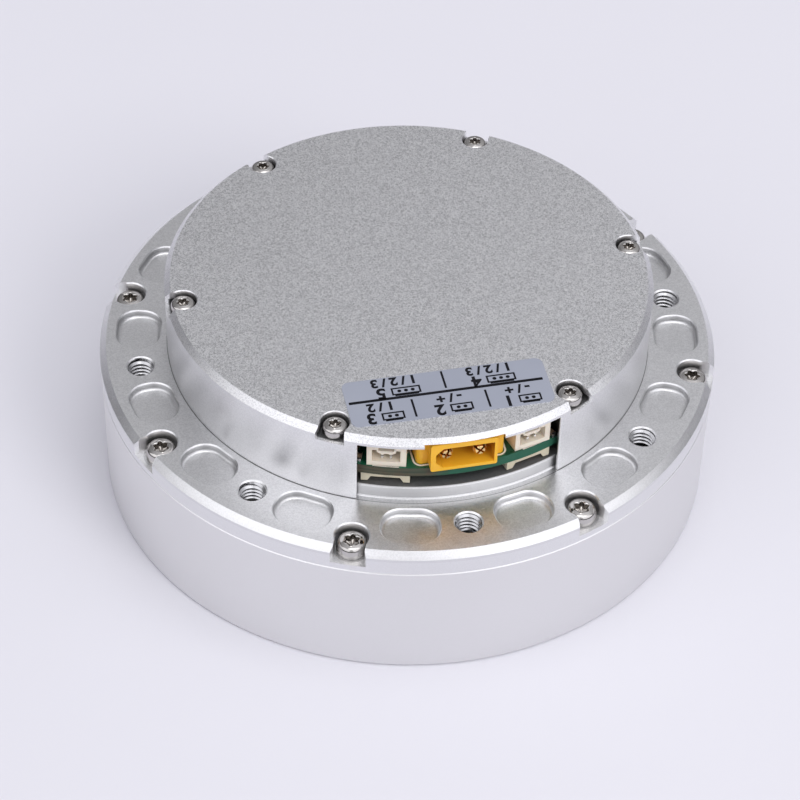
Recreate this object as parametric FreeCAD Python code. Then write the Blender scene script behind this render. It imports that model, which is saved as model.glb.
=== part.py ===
"""Quasi-direct-drive robot joint actuator: outrunner motor, single-stage planetary gearbox and motor driver in one
round aluminium housing. Millimetres, +Z up. The Z axis is the shaft axis and Z = 0 is the output-side face that the
actuator stands on; the driver cover is on top and its connector window faces -Y."""
import FreeCAD, Part
import math
import os

V = FreeCAD.Vector
os.makedirs("parts", exist_ok=True)

# ---------------------------------------------------------------- driving dimensions
R_BODY = 48.0            # outer radius of both housings
Z_SEAM = 20.06           # joint between front and rear housing
Z_FLANGE = 24.07         # mounting face
Z_PLAT = 26.28           # raised platform under the driver
Z_TOP = 36.43            # top of the driver cover
C_FLANGE = 1.0           # flange edge chamfer
R_PLAT = 36.5
R_COVER = 37.5
C_COVER = 0.9
Z_LID = 35.10            # underside of the cover's lid
COVER_WALL = 0.95
WINDOW_HALF_DEG = 23.8   # connector window, either side of -Y

R_MOUNT = 42.0           # rear mounting thread circle (8 x M4)
R_M4 = 2.0
R_FSCREW = 44.8          # flange screws (8 x M2.5)
Z_FSEAT = 21.20
R_FHEAD, H_FHEAD = 2.2, 2.0
R_CSCREW = 35.0          # cover screws (6 x M2)
Z_CSEAT = 34.55
R_CHEAD, H_CHEAD = 1.8, 1.5
POCKET_R0, POCKET_R1 = 38.6, 45.4
POCKET_HALF_DEG = 5.95
POCKET_OFF_DEG = 11.6
POCKET_DEPTH = 1.25

Z_PCB0, Z_PCB1 = 28.2, 29.8
R_PCB = 36.0

# gearbox: sun 15, planets 30, fixed ring 75, so 1 + 75/15 = 6:1
MOD = 0.7
Z_SUN, Z_PLANET, Z_RING = 15, 30, 75
ALPHA = math.radians(25.0)
R_CARRIER = MOD * (Z_SUN + Z_PLANET) / 2.0      # 15.75
GEAR_Z0, GEAR_Z1 = 8.4, 14.8
FLANK_GAP = 0.055        # play taken off each flank
R_RING_OUT = 28.0

R_RSCREW = 33.8          # bearing retainer screws (6 x M1.6)
R_OUT_BOLT = 19.0        # output thread circle (6 x M3)
R_OUT_DOWEL = 13.0       # output dowel holes (3 x 4 mm)
R_PILOT = 6.0            # output pilot bore
POST_DEG = (20, 160, 200, 340)
R_POST = 26.5

SLOTS = 36
POLES = 42


# ---------------------------------------------------------------- helpers
def cyl(r, z0, z1, x=0.0, y=0.0):
    return Part.makeCylinder(r, z1 - z0, V(x, y, z0))


def ring(r0, r1, z0, z1):
    return cyl(r1, z0, z1).cut(cyl(r0, z0 - 1, z1 + 1))


def at(deg, r):
    a = math.radians(deg)
    return r * math.cos(a), r * math.sin(a)


def turned(shape, deg):
    s = shape.copy()
    s.rotate(V(0, 0, 0), V(0, 0, 1), deg)
    return s


def polar(shape, n, start=0.0):
    return [turned(shape, start + 360.0 * k / n) for k in range(n)]


def revolve(points):
    """Closed (r, z) outline turned about Z."""
    pts = [V(r, 0, z) for r, z in points]
    f = Part.Face(Part.makePolygon(pts + [pts[0]]))
    return f.revolve(V(0, 0, 0), V(0, 0, 1), 360)


def prism(points, z0, z1):
    pts = [V(x, y, z0) for x, y in points]
    f = Part.Face(Part.makePolygon(pts + [pts[0]]))
    return f.extrude(V(0, 0, z1 - z0))


def box(x0, x1, y0, y1, z0, z1):
    return Part.makeBox(x1 - x0, y1 - y0, z1 - z0, V(x0, y0, z0))


def fuse(shapes):
    s = shapes[0]
    return s.multiFuse(shapes[1:]).removeSplitter() if len(shapes) > 1 else s


def cut(base, tools):
    return base.cut(tools) if tools else base


def edges_where(shape, test):
    return [e for e in shape.Edges if test(e)]


def vertical(e):
    a, b = e.Vertexes[0].Point, e.Vertexes[-1].Point
    return len(e.Vertexes) == 2 and abs(a.x - b.x) < 1e-6 and abs(a.y - b.y) < 1e-6 and abs(a.z - b.z) > 1e-6


def flat_at(e, z):
    return abs(e.BoundBox.ZMin - z) < 1e-4 and abs(e.BoundBox.ZMax - z) < 1e-4


def placed(shape, deg, x, y, z=0.0):
    s = shape.copy()
    s.rotate(V(0, 0, 0), V(0, 0, 1), deg)
    s.translate(V(x, y, z))
    return s


built = []


def export(name, shapes):
    if not isinstance(shapes, (list, tuple)):
        shapes = [shapes]
    solids = []
    for s in shapes:
        solids += s.Solids
    for s in solids:
        if not s.isValid() or s.Volume <= 0:
            raise RuntimeError("bad solid in " + name)
    out = solids[0] if len(solids) == 1 else Part.makeCompound(solids)
    out.exportStep("parts/%s.step" % name)
    built.append((name, len(solids), sum(s.Volume for s in solids)))


# ---------------------------------------------------------------- gear outlines
def inv(a):
    return math.tan(a) - a


def flank(teeth, r_from, r_to, half_at_pitch, n=5):
    """(radius, half angle) pairs along one involute flank."""
    rp = MOD * teeth / 2.0
    rb = rp * math.cos(ALPHA)
    out = []
    for k in range(n):
        r = r_from + (r_to - r_from) * k / (n - 1)
        rr = max(r, rb)
        a = math.acos(rb / rr)
        out.append((r, half_at_pitch + inv(ALPHA) - inv(a)))
    return out


def gear_points(teeth, r_root, r_tip, thin, first_deg=0.0):
    """Outline of an external gear with a tooth centred on first_deg."""
    rp = MOD * teeth / 2.0
    half = math.pi / (2 * teeth) - thin / rp
    r_start = max(r_root, rp * math.cos(ALPHA))
    fl = flank(teeth, r_start, r_tip, half)
    pts = []
    for t in range(teeth):
        c = math.radians(first_deg) + 2 * math.pi * t / teeth
        side = [(r_root, min(fl[0][1] + 0.012, math.pi / teeth - 0.004))] + fl if r_root < r_start - 1e-6 else fl
        for r, h in side:
            pts.append((r * math.cos(c - h), r * math.sin(c - h)))
        for r, h in reversed(side):
            pts.append((r * math.cos(c + h), r * math.sin(c + h)))
    return pts


# ---------------------------------------------------------------- screws
def torx(r_out, depth, z_top):
    tool = cyl(r_out * 0.72, z_top - depth, z_top + 1)
    lobes = [cyl(r_out * 0.27, z_top - depth, z_top + 1, *at(60 * k, r_out * 0.73)) for k in range(6)]
    t = tool.multiFuse(lobes)
    cone = Part.makeCone(r_out * 0.98, r_out * 1.12, 0.12, V(0, 0, z_top - 0.1))
    return t.fuse(cone)


def pan_screw(r_head, h_head, r_shank, length, r_torx, turn):
    """Pan head screw, seat at Z = 0, shank going down."""
    head = cyl(r_head, 0, h_head)
    head = head.makeFillet(h_head * 0.42, edges_where(head, lambda e: flat_at(e, h_head)))
    head = head.makeChamfer(0.08, edges_where(head, lambda e: flat_at(e, 0.0)))
    s = head.fuse(Part.makeCylinder(r_shank, length - 0.3, V(0, 0, -length + 0.3)))
    s = s.fuse(Part.makeCone(r_shank - 0.25, r_shank, 0.3, V(0, 0, -length)))
    s = s.cut(torx(r_torx, h_head * 0.52, h_head))
    s.rotate(V(0, 0, 0), V(0, 0, 1), turn)
    return s


def csk_screw(r_head, r_shank, length, r_torx, up=True):
    """Countersunk screw with its top at Z = 0, going down; flipped when up is False."""
    h = r_head - r_shank
    s = Part.makeCone(r_shank, r_head, h, V(0, 0, -h)).fuse(cyl(r_shank, -length, -h))
    s = s.cut(torx(r_torx, h * 0.75, 0.0))
    if not up:
        s.rotate(V(0, 0, 0), V(1, 0, 0), 180)
    return s


def csk_hole(r_head, r_shank, length, up=True, extra=0.06):
    h = r_head - r_shank
    s = Part.makeCone(r_shank + extra, r_head + extra, h, V(0, 0, -h)).fuse(cyl(r_head + extra, 0, 1))
    s = s.fuse(cyl(r_shank + extra, -length, -h))
    if not up:
        s.rotate(V(0, 0, 0), V(1, 0, 0), 180)
    return s


# ================================================================ housings
def front_housing():
    """Output-side cup: outer wall, front wall, bearing seat and stator tube in one turned piece."""
    s = revolve([
        (R_BODY - 0.4, 0), (R_BODY, 0.4), (R_BODY, Z_SEAM - 0.12), (R_BODY - 0.12, Z_SEAM), (45.5, Z_SEAM),
        (45.5, 3.4), (44.7, 2.6), (33.6, 2.6), (33.0, 3.2), (33.0, 8.0), (30.5, 8.0), (30.5, 16.3), (30.2, 16.6),
        (28.03, 16.6), (28.03, 8.2), (27.2, 8.2), (27.2, 7.22), (31.01, 7.22), (31.01, 1.22), (36.05, 1.22), (36.05, 0.15), (36.2, 0)])
    s = s.cut(ring(27.0, 29.0, 15.13, 15.95))          # circlip groove
    bosses = [cyl(2.4, 2.0, Z_SEAM, *at(22.5 + 45 * k, R_FSCREW)) for k in range(8)]
    bosses = [b.common(cyl(R_BODY - 1.0, 0, Z_SEAM)) for b in bosses]
    s = fuse([s] + bosses)
    holes = [cyl(1.25, Z_SEAM - 11.5, Z_SEAM + 1, *at(22.5 + 45 * k, R_FSCREW)) for k in range(8)]
    holes += [cyl(0.85, 1.0, 4.6, *at(30 + 60 * k, R_RSCREW)) for k in range(6)]
    pads = [cyl(1.9, 2.4, 5.4, *at(30 + 60 * k, R_RSCREW)) for k in range(6)]
    s = fuse([s] + pads)
    return cut(s, holes)


def pocket(deg):
    a = math.radians(POCKET_HALF_DEG)
    r0, r1 = POCKET_R0, POCKET_R1
    p = [V(r0 * math.cos(-a), r0 * math.sin(-a), 0), V(r1 * math.cos(-a), r1 * math.sin(-a), 0),
         V(r1 * math.cos(a), r1 * math.sin(a), 0), V(r0 * math.cos(a), r0 * math.sin(a), 0)]
    w = Part.Wire([Part.makeLine(p[0], p[1]), Part.Arc(p[1], V(r1, 0, 0), p[2]).toShape(),
                   Part.makeLine(p[2], p[3]), Part.Arc(p[3], V(r0, 0, 0), p[0]).toShape()])
    s = Part.Face(w).extrude(V(0, 0, 3.0))
    s = s.makeFillet(3.1, edges_where(s, vertical))
    s = s.makeFillet(0.55, edges_where(s, lambda e: flat_at(e, 0.0)))
    s.translate(V(0, 0, Z_FLANGE - POCKET_DEPTH))
    return turned(s, deg)


def notch(r_pos, r_circle, z_floor, z_top, r_edge, mouth, deg):
    """Screw notch open to the outside: round end, short straight mouth that flares at the rim."""
    c = cyl(r_circle, z_floor, z_top + 1, r_pos, 0)
    w0, w1 = r_circle * 0.93, mouth
    slot = prism([(r_pos, -w0), (r_edge - 0.75, -w0), (r_edge + 0.6, -w1), (r_edge + 0.6, w1), (r_edge - 0.75, w0), (r_pos, w0)],
                 z_floor, z_top + 1)
    return turned(c.fuse(slot).removeSplitter(), deg)


def rear_housing():
    """Mounting flange with the driver platform, rear bearing seat, wire channel and board posts."""
    s = revolve([
        (6.9, Z_PLAT), (6.9, 25.82), (9.52, 25.82), (9.52, 20.9), (12.6, 20.9), (13.4, 21.7), (13.4, 23.7), (34.2, 23.7),
        (35.0, 22.9), (35.0, Z_SEAM), (R_BODY - 0.12, Z_SEAM), (R_BODY, Z_SEAM + 0.12), (R_BODY, Z_FLANGE - C_FLANGE),
        (R_BODY - C_FLANGE, Z_FLANGE), (R_PLAT + 0.22, Z_FLANGE), (R_PLAT, Z_FLANGE + 0.22), (R_PLAT, Z_PLAT - 0.22),
        (R_PLAT - 0.22, Z_PLAT)])
    ribs = [turned(box(12.8, 35.6, -1.0, 1.0, 21.2, 24.2), 15 + 60 * k) for k in range(6)]
    posts = [cyl(2.3, Z_PLAT - 0.5, Z_PCB0, *at(d, R_POST)) for d in POST_DEG]
    s = fuse([s] + ribs + posts)
    tools = [pocket(-90 + 45 * k + sg * POCKET_OFF_DEG) for k in range(8) for sg in (-1, 1)]
    for k in range(8):
        d = -90 + 45 * k
        x, y = at(d, R_MOUNT)
        tools.append(cyl(R_M4, Z_SEAM - 1, Z_FLANGE + 1, x, y))
        tools.append(Part.makeCone(R_M4, R_M4 + 0.42, 0.42, V(x, y, Z_FLANGE - 0.22)))
        n = notch(R_FSCREW, 2.52, Z_FSEAT, Z_FLANGE, R_BODY, 2.95, d + 22.5)
        tools.append(n)
        tools.append(cyl(1.4, Z_SEAM - 1, Z_FSEAT + 0.5, *at(d + 22.5, R_FSCREW)))
    for k in range(6):
        tools.append(cyl(0.98, 24.25, Z_PLAT + 1, *at(-120 + 60 * k, R_CSCREW)))
    for d in POST_DEG:
        tools.append(cyl(0.85, Z_PCB0 - 4.0, Z_PCB0 + 1, *at(d, R_POST)))
    chan = box(30.9, 45.3, -3.0, 3.0, Z_SEAM - 1, 21.95).fuse(box(30.9, 35.0, -3.0, 3.0, Z_SEAM - 1, Z_PLAT + 1))
    tools.append(turned(chan, WIRE_DEG))
    return cut(s, tools)


WIRE_DEG = 90 + 11.25


def rear_cover():
    """Driver cover: lid and skirt in one piece, six screw bosses inside, connector window towards -Y."""
    r_in = R_COVER - COVER_WALL
    s = revolve([
        (0, Z_LID), (0, Z_TOP), (R_COVER - C_COVER, Z_TOP), (R_COVER, Z_TOP - C_COVER), (R_COVER, Z_FLANGE + 0.12),
        (R_COVER - 0.12, Z_FLANGE), (r_in + 0.32, Z_FLANGE), (r_in, Z_FLANGE + 0.36), (r_in, Z_LID - 0.5), (r_in - 0.5, Z_LID)])
    w = math.radians(WINDOW_HALF_DEG)
    xw = R_COVER * math.sin(w)
    win = box(-xw + 0.18, xw, -R_COVER - 2, -30.0, Z_FLANGE - 1, Z_LID)
    s = s.cut(win)
    # shallow relief in the lid's underside over the power connector, open through the rim
    relief = box(-5.75, 6.2, -R_COVER - 2, -25.6, Z_LID - 0.2, Z_LID + 0.66)
    relief = relief.makeFillet(1.0, [e for e in relief.Edges if vertical(e) and e.Vertexes[0].Y > -26])
    s = s.cut(relief)
    bosses = []
    for k in range(6):
        b = cyl(2.5, Z_PLAT + 0.02, Z_LID + 0.3, *at(-120 + 60 * k, R_CSCREW))
        b = b.common(cyl(R_COVER - 0.2, 20, Z_LID + 0.3))
        bosses.append(b)
    s = fuse([s] + bosses)
    edges = edges_where(s, lambda e: vertical(e) and abs(abs(e.Vertexes[0].X) - xw) < 0.2 and e.Vertexes[0].Y < -30
                        and abs(math.hypot(e.Vertexes[0].X, e.Vertexes[0].Y) - R_COVER) < 0.3)
    try:
        s = s.makeFillet(0.25, edges)
    except Exception:
        pass
    tools = []
    for k in range(6):
        d = -120 + 60 * k
        tools.append(notch(R_CSCREW, 2.15, Z_CSEAT, Z_TOP, R_COVER, 2.4, d))
        tools.append(cyl(1.12, Z_PLAT - 1, Z_CSEAT + 0.5, *at(d, R_CSCREW)))
    return cut(s, tools)


# ================================================================ build: fixed side
fh = front_housing()
rh = rear_housing()
rc = rear_cover()


def try_chamfer(s, es, size):
    """Chamfers edges one call at a time where the group fails, keeping the valid result."""
    try:
        t = s.makeChamfer(size, es)
        if t.isValid() and len(t.Solids) == 1:
            return t
    except Exception:
        pass
    return s


pocket_edges = [e for e in rh.Edges if flat_at(e, Z_FLANGE) and (
    (e.Curve.TypeId == "Part::GeomCircle" and (abs(e.Curve.Radius - 2.52) < 0.02)))]
rh = try_chamfer(rh, pocket_edges, 0.18)
pocket_edges = [e for e in rh.Edges if flat_at(e, Z_FLANGE) and e.Length < 14 and POCKET_R0 - 0.1 < math.hypot(e.CenterOfMass.x, e.CenterOfMass.y) < POCKET_R1 + 0.1
                and not (e.Curve.TypeId == "Part::GeomCircle" and (abs(e.Curve.Radius - 2.52) < 0.3 or abs(e.Curve.Radius - R_M4) < 0.5))
                and not (e.Curve.TypeId == "Part::GeomLine" and math.hypot(e.Vertexes[0].X, e.Vertexes[0].Y) > 45.6)]
pocket_edges = [e for e in pocket_edges if abs(((math.degrees(math.atan2(e.CenterOfMass.y, e.CenterOfMass.x)) + 360) % 45) - 22.5) > 3.2]
rh = try_chamfer(rh, pocket_edges, 0.16)
cover_edges = [e for e in rc.Edges if flat_at(e, Z_TOP) and e.Curve.TypeId == "Part::GeomCircle" and e.Curve.Radius < 3]
rc = try_chamfer(rc, cover_edges, 0.14)

export("front_housing", fh)
export("rear_housing", rh)
export("rear_cover", rc)

turns = [12, 40, 25, 3, 51, 18, 33, 8]
export("flange_screws", [placed(pan_screw(R_FHEAD, H_FHEAD, 1.2, 10.0, 1.2, turns[k]), 0, *at(-67.5 + 45 * k, R_FSCREW), Z_FSEAT) for k in range(8)])
export("cover_screws", [placed(pan_screw(R_CHEAD, H_CHEAD, 0.95, 10.0, 0.95, turns[-k]), 0, *at(-120 + 60 * k, R_CSCREW), Z_CSEAT) for k in range(6)])

# self-adhesive port label, 30.2 x 9.4 with rounded corners
lab = box(-15.25, 14.95, -32.15, -22.75, Z_TOP, Z_TOP + 0.1)
lab = lab.makeFillet(1.2, edges_where(lab, vertical))
export("port_label", lab)

# bearing retainer on the output face
ret = ring(27.5, 36.0, 0.02, 1.2)
ret = ret.makeChamfer(0.25, edges_where(ret, lambda e: flat_at(e, 0.02) and e.Curve.Radius < 30))
ret = cut(ret, [placed(csk_hole(1.85, 0.95, 3.0, up=False), 0, *at(30 + 60 * k, R_RSCREW), 0.02) for k in range(6)])
# seat in the housing is flush: the recess in the housing starts at R 36.05
export("bearing_retainer", ret)
export("retainer_screws", [placed(csk_screw(1.8, 0.8, 4.0, 0.85, up=False), 0, *at(30 + 60 * k, R_RSCREW), 0.05) for k in range(6)])


# ---------------------------------------------------------------- bearings
def race(r_bore, r_face, r_ball, rb, z0, z1, outer):
    """One race with a ball groove; rb is the ball circle radius."""
    s = ring(min(r_bore, r_face), max(r_bore, r_face), z0, z1)
    s = s.cut(Part.makeTorus(rb, r_ball + 0.03, V(0, 0, (z0 + z1) / 2.0)))
    bc = edges_where(s, lambda e: e.Curve.TypeId == "Part::GeomCircle" and abs(e.Curve.Radius - r_bore) < 1e-4)
    return s.makeChamfer(0.2, bc)


def balls(n, r_ball, rb, z):
    return [Part.makeSphere(r_ball, V(*at(360.0 * k / n, rb), z)) for k in range(n)]


def cage(n, r_ball, rb, z, half, band):
    """Crown cage: a closed band beside the balls with open pockets around them."""
    c = ring(rb - half, rb + half, z - r_ball * 0.35, z + r_ball + band)
    return c.cut([Part.makeSphere(r_ball + 0.06, V(*at(360.0 * k / n, rb), z)) for k in range(n)])


# output bearing 50 x 62 x 6
OB_Z0, OB_Z1 = 1.22, 7.2
export("output_bearing_outer_race", race(30.99, 29.2, 1.5, 28.0, OB_Z0, OB_Z1, True))
export("output_bearing_inner_race", race(25.02, 26.8, 1.5, 28.0, OB_Z0, OB_Z1, False))
export("output_bearing_balls", balls(36, 1.47, 28.0, (OB_Z0 + OB_Z1) / 2))
export("output_bearing_cage", cage(36, 1.47, 28.0, (OB_Z0 + OB_Z1) / 2, 0.75, 0.45))
export("output_bearing_seals", [ring(26.95, 29.17, OB_Z0 + 0.15, OB_Z0 + 0.6), ring(26.95, 29.17, OB_Z1 - 0.6, OB_Z1 - 0.15)])
# rear bearing 10 x 19 x 5 on the rotor shaft
RB_Z0, RB_Z1 = 20.82, 25.8
export("rear_bearing_outer_race", race(9.5, 8.15, 1.2, 7.25, RB_Z0, RB_Z1, True))
export("rear_bearing_inner_race", race(5.02, 6.35, 1.2, 7.25, RB_Z0, RB_Z1, False))
rb_z = (RB_Z0 + RB_Z1) / 2
export("rear_bearing_balls", balls(12, 1.17, 7.25, rb_z))
export("rear_bearing_cage", cage(12, 1.17, 7.25, rb_z, 0.6, 0.45))
# pilot bearing 6 x 10 x 3 between the sun shaft and the output hub
PB_Z0, PB_Z1 = 4.62, 7.6
export("pilot_bearing_outer_race", race(5.0, 4.42, 0.62, 4.0, PB_Z0, PB_Z1, True))
export("pilot_bearing_inner_race", race(3.02, 3.58, 0.62, 4.0, PB_Z0, PB_Z1, False))
pb_z = (PB_Z0 + PB_Z1) / 2
export("pilot_bearing_balls", balls(14, 0.6, 4.0, pb_z))
export("pilot_bearing_cage", cage(14, 0.6, 4.0, pb_z, 0.3, 0.3))

# ---------------------------------------------------------------- gears
PHI0 = 90.0                                     # first planet towards +Y
sun_pts = gear_points(Z_SUN, MOD * (Z_SUN - 2.5) / 2, MOD * (Z_SUN + 1.9) / 2, FLANK_GAP / 2, PHI0)
planet_pts = gear_points(Z_PLANET, MOD * (Z_PLANET - 2.5) / 2, MOD * (Z_PLANET + 1.9) / 2, FLANK_GAP / 2, 180.0 / Z_PLANET)
# the ring's spaces are a 75-tooth outline with wider teeth; a ring tooth is centred on PHI0
ring_pts = gear_points(Z_RING, MOD * (Z_RING - 1.9) / 2, MOD * (Z_RING + 2.5) / 2, -FLANK_GAP / 2, PHI0 + 180.0 / Z_RING)

rg = cyl(R_RING_OUT, 8.22, 15.12).cut(prism(ring_pts, 8.0, 15.5))
export("ring_gear", rg)
clip = ring(26.9, 28.9, 15.15, 15.93).cut(turned(box(0, 40, -3.2, 3.2, 15, 17), -90))
export("ring_gear_circlip", clip)

for k in range(3):
    g = prism(planet_pts, GEAR_Z0, GEAR_Z1).cut(cyl(3.04, GEAR_Z0 - 1, GEAR_Z1 + 1))
    g = g.cut([cyl(1.35, GEAR_Z0 - 1, GEAR_Z1 + 1, *at(60 * j, 6.3)) for j in range(6)])
    x, y = at(PHI0 + 120 * k, R_CARRIER)
    export("planet_gear_%d" % (k + 1), placed(g, PHI0 + 120 * k, x, y))

# ---------------------------------------------------------------- output side: hub, plate, pins
hub = revolve([
    (0, 3.3), (R_PILOT, 3.3), (R_PILOT, 0.6), (R_PILOT + 0.3, 0.3), (24.6, 0.3), (25.0, 0.7), (25.0, 7.2), (26.6, 7.2), (26.6, 7.95), (26.5, 8.05), (5.01, 8.05), (5.01, 4.6),
    (0, 4.6)])
posts = [cyl(4.0, 8.0, 15.2, *at(PHI0 + 60 + 120 * k, 19.6)) for k in range(3)]
hub = fuse([hub] + posts)
tools = [ring(24.35, 25.5, 0.62, 1.16)]
for k in range(6):
    x, y = at(60 * k, R_OUT_BOLT)
    tools += [cyl(1.5, -1, 6.3, x, y), Part.makeCone(1.86, 1.5, 0.36, V(x, y, 0.3 - 0.01))]
for k in range(3):
    tools += [cyl(2.0, -1, 3.5, *at(PHI0 + 60 + 120 * k, R_OUT_DOWEL))]
    tools += [cyl(2.0, 4.4, 9.0, *at(PHI0 + 120 * k, R_CARRIER))]
    tools += [cyl(1.28, 8.6, 16.0, *at(PHI0 + 60 + 120 * k, 19.6))]
hub = cut(hub, tools)
export("output_hub", hub)

plate = ring(7.2, 24.4, 15.2, 17.7)
plate = plate.makeChamfer(0.3, edges_where(plate, lambda e: flat_at(e, 17.7)))
tools = []
for k in range(3):
    tools.append(cyl(2.0, 15.0, 18.0, *at(PHI0 + 120 * k, R_CARRIER)))
    tools.append(placed(csk_hole(2.4, 1.28, 4.0), 0, *at(PHI0 + 60 + 120 * k, 19.6), 17.7))
    # relief between pin and post
    for sg in (-1, 1):
        tools.append(cyl(1.7, 15.0, 18.0, *at(PHI0 + 120 * k + sg * 30, 20.6)))
plate = cut(plate, tools)
export("carrier_plate", plate)
export("planet_pins", [cyl(1.98, 4.5, 17.6, *at(PHI0 + 120 * k, R_CARRIER)) for k in range(3)])
export("planet_bushes", [placed(ring(1.98, 3.0, GEAR_Z0, GEAR_Z1), 0, *at(PHI0 + 120 * k, R_CARRIER)) for k in range(3)])
export("thrust_washers", [placed(ring(2.02, 4.2, z, z + 0.3), 0, *at(PHI0 + 120 * k, R_CARRIER)) for k in range(3) for z in (8.07, 14.87)])
export("carrier_screws", [placed(csk_screw(2.35, 1.22, 8.5, 1.1), 0, *at(PHI0 + 60 + 120 * k, 19.6), 17.66) for k in range(3)])
oc = ring(24.4, 26.3, 0.65, 1.12).cut(turned(box(0, 40, -2.6, 2.6, 0, 2), 90))
export("output_circlip", oc)

# ---------------------------------------------------------------- rotor side
bell = revolve([(6.12, 18.2), (39.4, 18.2), (39.9, 17.6), (39.9, 6.8), (41.8, 6.8), (41.8, 18.9), (41.1, 19.6), (6.12, 19.6)])
tools = []
for k in range(8):
    a = 45 * k + 22.5
    w = ring(17.0, 34.0, 17.0, 21.0)
    seg = prism([(0, 0)] + [at(-14 + 4 * j, 60) for j in range(8)], 17.0, 21.0)
    w = w.common(seg)
    w = w.makeFillet(2.0, edges_where(w, vertical))
    tools.append(turned(w, a))
tools += [placed(csk_hole(1.8, 0.8, 3.0), 0, *at(60 * k, 8.7), 20.62) for k in range(6)]
bell = cut(bell, tools)
export("rotor_bell", bell)
mag = box(38.0, 39.7, -2.4, 2.4, 7.6, 16.4)
export("rotor_magnets", polar(mag, POLES))

sun = prism(sun_pts, 8.3, 15.0)
sh = revolve([(0, 4.8), (2.8, 4.8), (3.0, 5.0), (3.0, 8.3), (4.3, 8.3), (4.3, 15.6), (5.9, 17.2), (6.08, 17.4), (6.08, 19.6), (10.9, 19.6), (10.9, 20.5), (10.78, 20.62),
              (6.3, 20.62), (6.3, 20.8), (5.0, 20.8), (5.0, 26.0), (4.8, 26.2), (3.05, 26.2), (3.05, 24.6), (0, 24.6)])
sh = sh.fuse(sun).removeSplitter()
sh = cut(sh, [placed(csk_hole(1.8, 0.8, 3.0), 0, *at(60 * k, 8.7), 20.62) for k in range(6)])
export("sun_gear_shaft", sh)
export("rotor_screws", [placed(csk_screw(1.78, 0.78, 2.3, 0.8), 0, *at(60 * k, 8.7), 20.6) for k in range(6)])
em = cyl(3.0, 24.62, 26.85)
export("encoder_magnet", em.makeChamfer(0.15, edges_where(em, lambda e: flat_at(e, 26.85))))

# ---------------------------------------------------------------- stator
pts = []
for t in range(SLOTS):
    c = 10.0 * t
    hw = 1.1
    ry, rn, rt = 33.0, 36.55, 37.5
    a_root = math.degrees(math.asin(hw / ry))
    a_neck = math.degrees(math.asin(hw / rn))
    pts += [at(c - a_root, ry), at(c - a_neck, rn), at(c - 4.0, 36.95), at(c - 4.0, rt), at(c - 2.0, rt + 0.01), at(c, rt + 0.02), at(c + 2.0, rt + 0.01),
            at(c + 4.0, rt), at(c + 4.0, 36.95), at(c + a_neck, rn), at(c + a_root, ry), at(c + 5.0, ry)]
core = prism(pts, 8.0, 16.0).cut(cyl(30.52, 7, 17))
export("stator_core", core)
coil = box(33.35, 36.3, -2.45, 2.45, 6.2, 17.8)
coil = coil.makeFillet(0.9, [e for e in coil.Edges if abs(e.Vertexes[0].Y - e.Vertexes[1].Y) < 1e-6 and abs(e.Vertexes[0].Z - e.Vertexes[1].Z) < 1e-6])
coil = coil.cut(box(33.0, 36.6, -1.16, 1.16, 7.94, 16.06))
export("stator_windings", polar(coil, SLOTS))


export("terminal_ring", ring(30.7, 33.2, 16.02, 16.8))


def tube(points, bend, r):
    """Formed round conductor through the points: straight runs joined by tangent arcs."""
    pts = [V(*p) for p in points]
    edges, last = [], pts[0]
    for i in range(1, len(pts) - 1):
        a, b, c = pts[i - 1], pts[i], pts[i + 1]
        u, w = (a - b).normalize(), (c - b).normalize()
        ang = math.acos(max(-1, min(1, u.dot(w))))
        t = bend / math.tan(ang / 2.0)
        p0, p1 = b + u * t, b + w * t
        mid_dir = (u + w).normalize()
        cen = b + mid_dir * (bend / math.sin(ang / 2.0))
        m = cen - mid_dir * bend
        edges += [Part.LineSegment(last, p0).toShape(), Part.Arc(p0, m, p1).toShape()]
        last = p1
    edges.append(Part.LineSegment(last, pts[-1]).toShape())
    w = Part.Wire(edges)
    d = (pts[1] - pts[0]).normalize()
    c = Part.Wire([Part.Circle(pts[0], d, r).toShape()])
    s = w.makePipeShell([c], True, False)
    print("wire radius", bend, "volume ratio %.4f" % (s.Volume / (math.pi * r * r * w.Length)))
    return s


leads = []
for off in (-1.85, 0.0, 1.85):
    path = [(34.0, off, 5.66), (43.85, off, 5.66), (43.85, off, 21.05), (32.5, off, 21.05), (32.5, off, Z_PCB0 - 0.02)]
    leads.append(turned(tube(path, 3.0, 0.5), WIRE_DEG))
export("phase_leads", leads)

# ================================================================ driver electronics
pcb = cyl(R_PCB, Z_PCB0, Z_PCB1)
tools = [cyl(2.9, 20, 40, *at(-120 + 60 * k, R_CSCREW)) for k in range(6)]
tools += [cyl(1.15, 20, 40, *at(d, R_POST)) for d in POST_DEG]
pcb = cut(pcb, tools)
export("driver_board", pcb)
export("board_screws", [placed(pan_screw(1.8, 1.3, 0.8, 5.0, 0.9, 10 * d), 0, *at(d, R_POST), Z_PCB1) for d in POST_DEG])


# power connector: 10 x 5.2 nose with a cavity, wider foot behind it, two round pins
NOSE_Y = -36.56
Z0 = Z_PCB1
CX = 0.32


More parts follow.
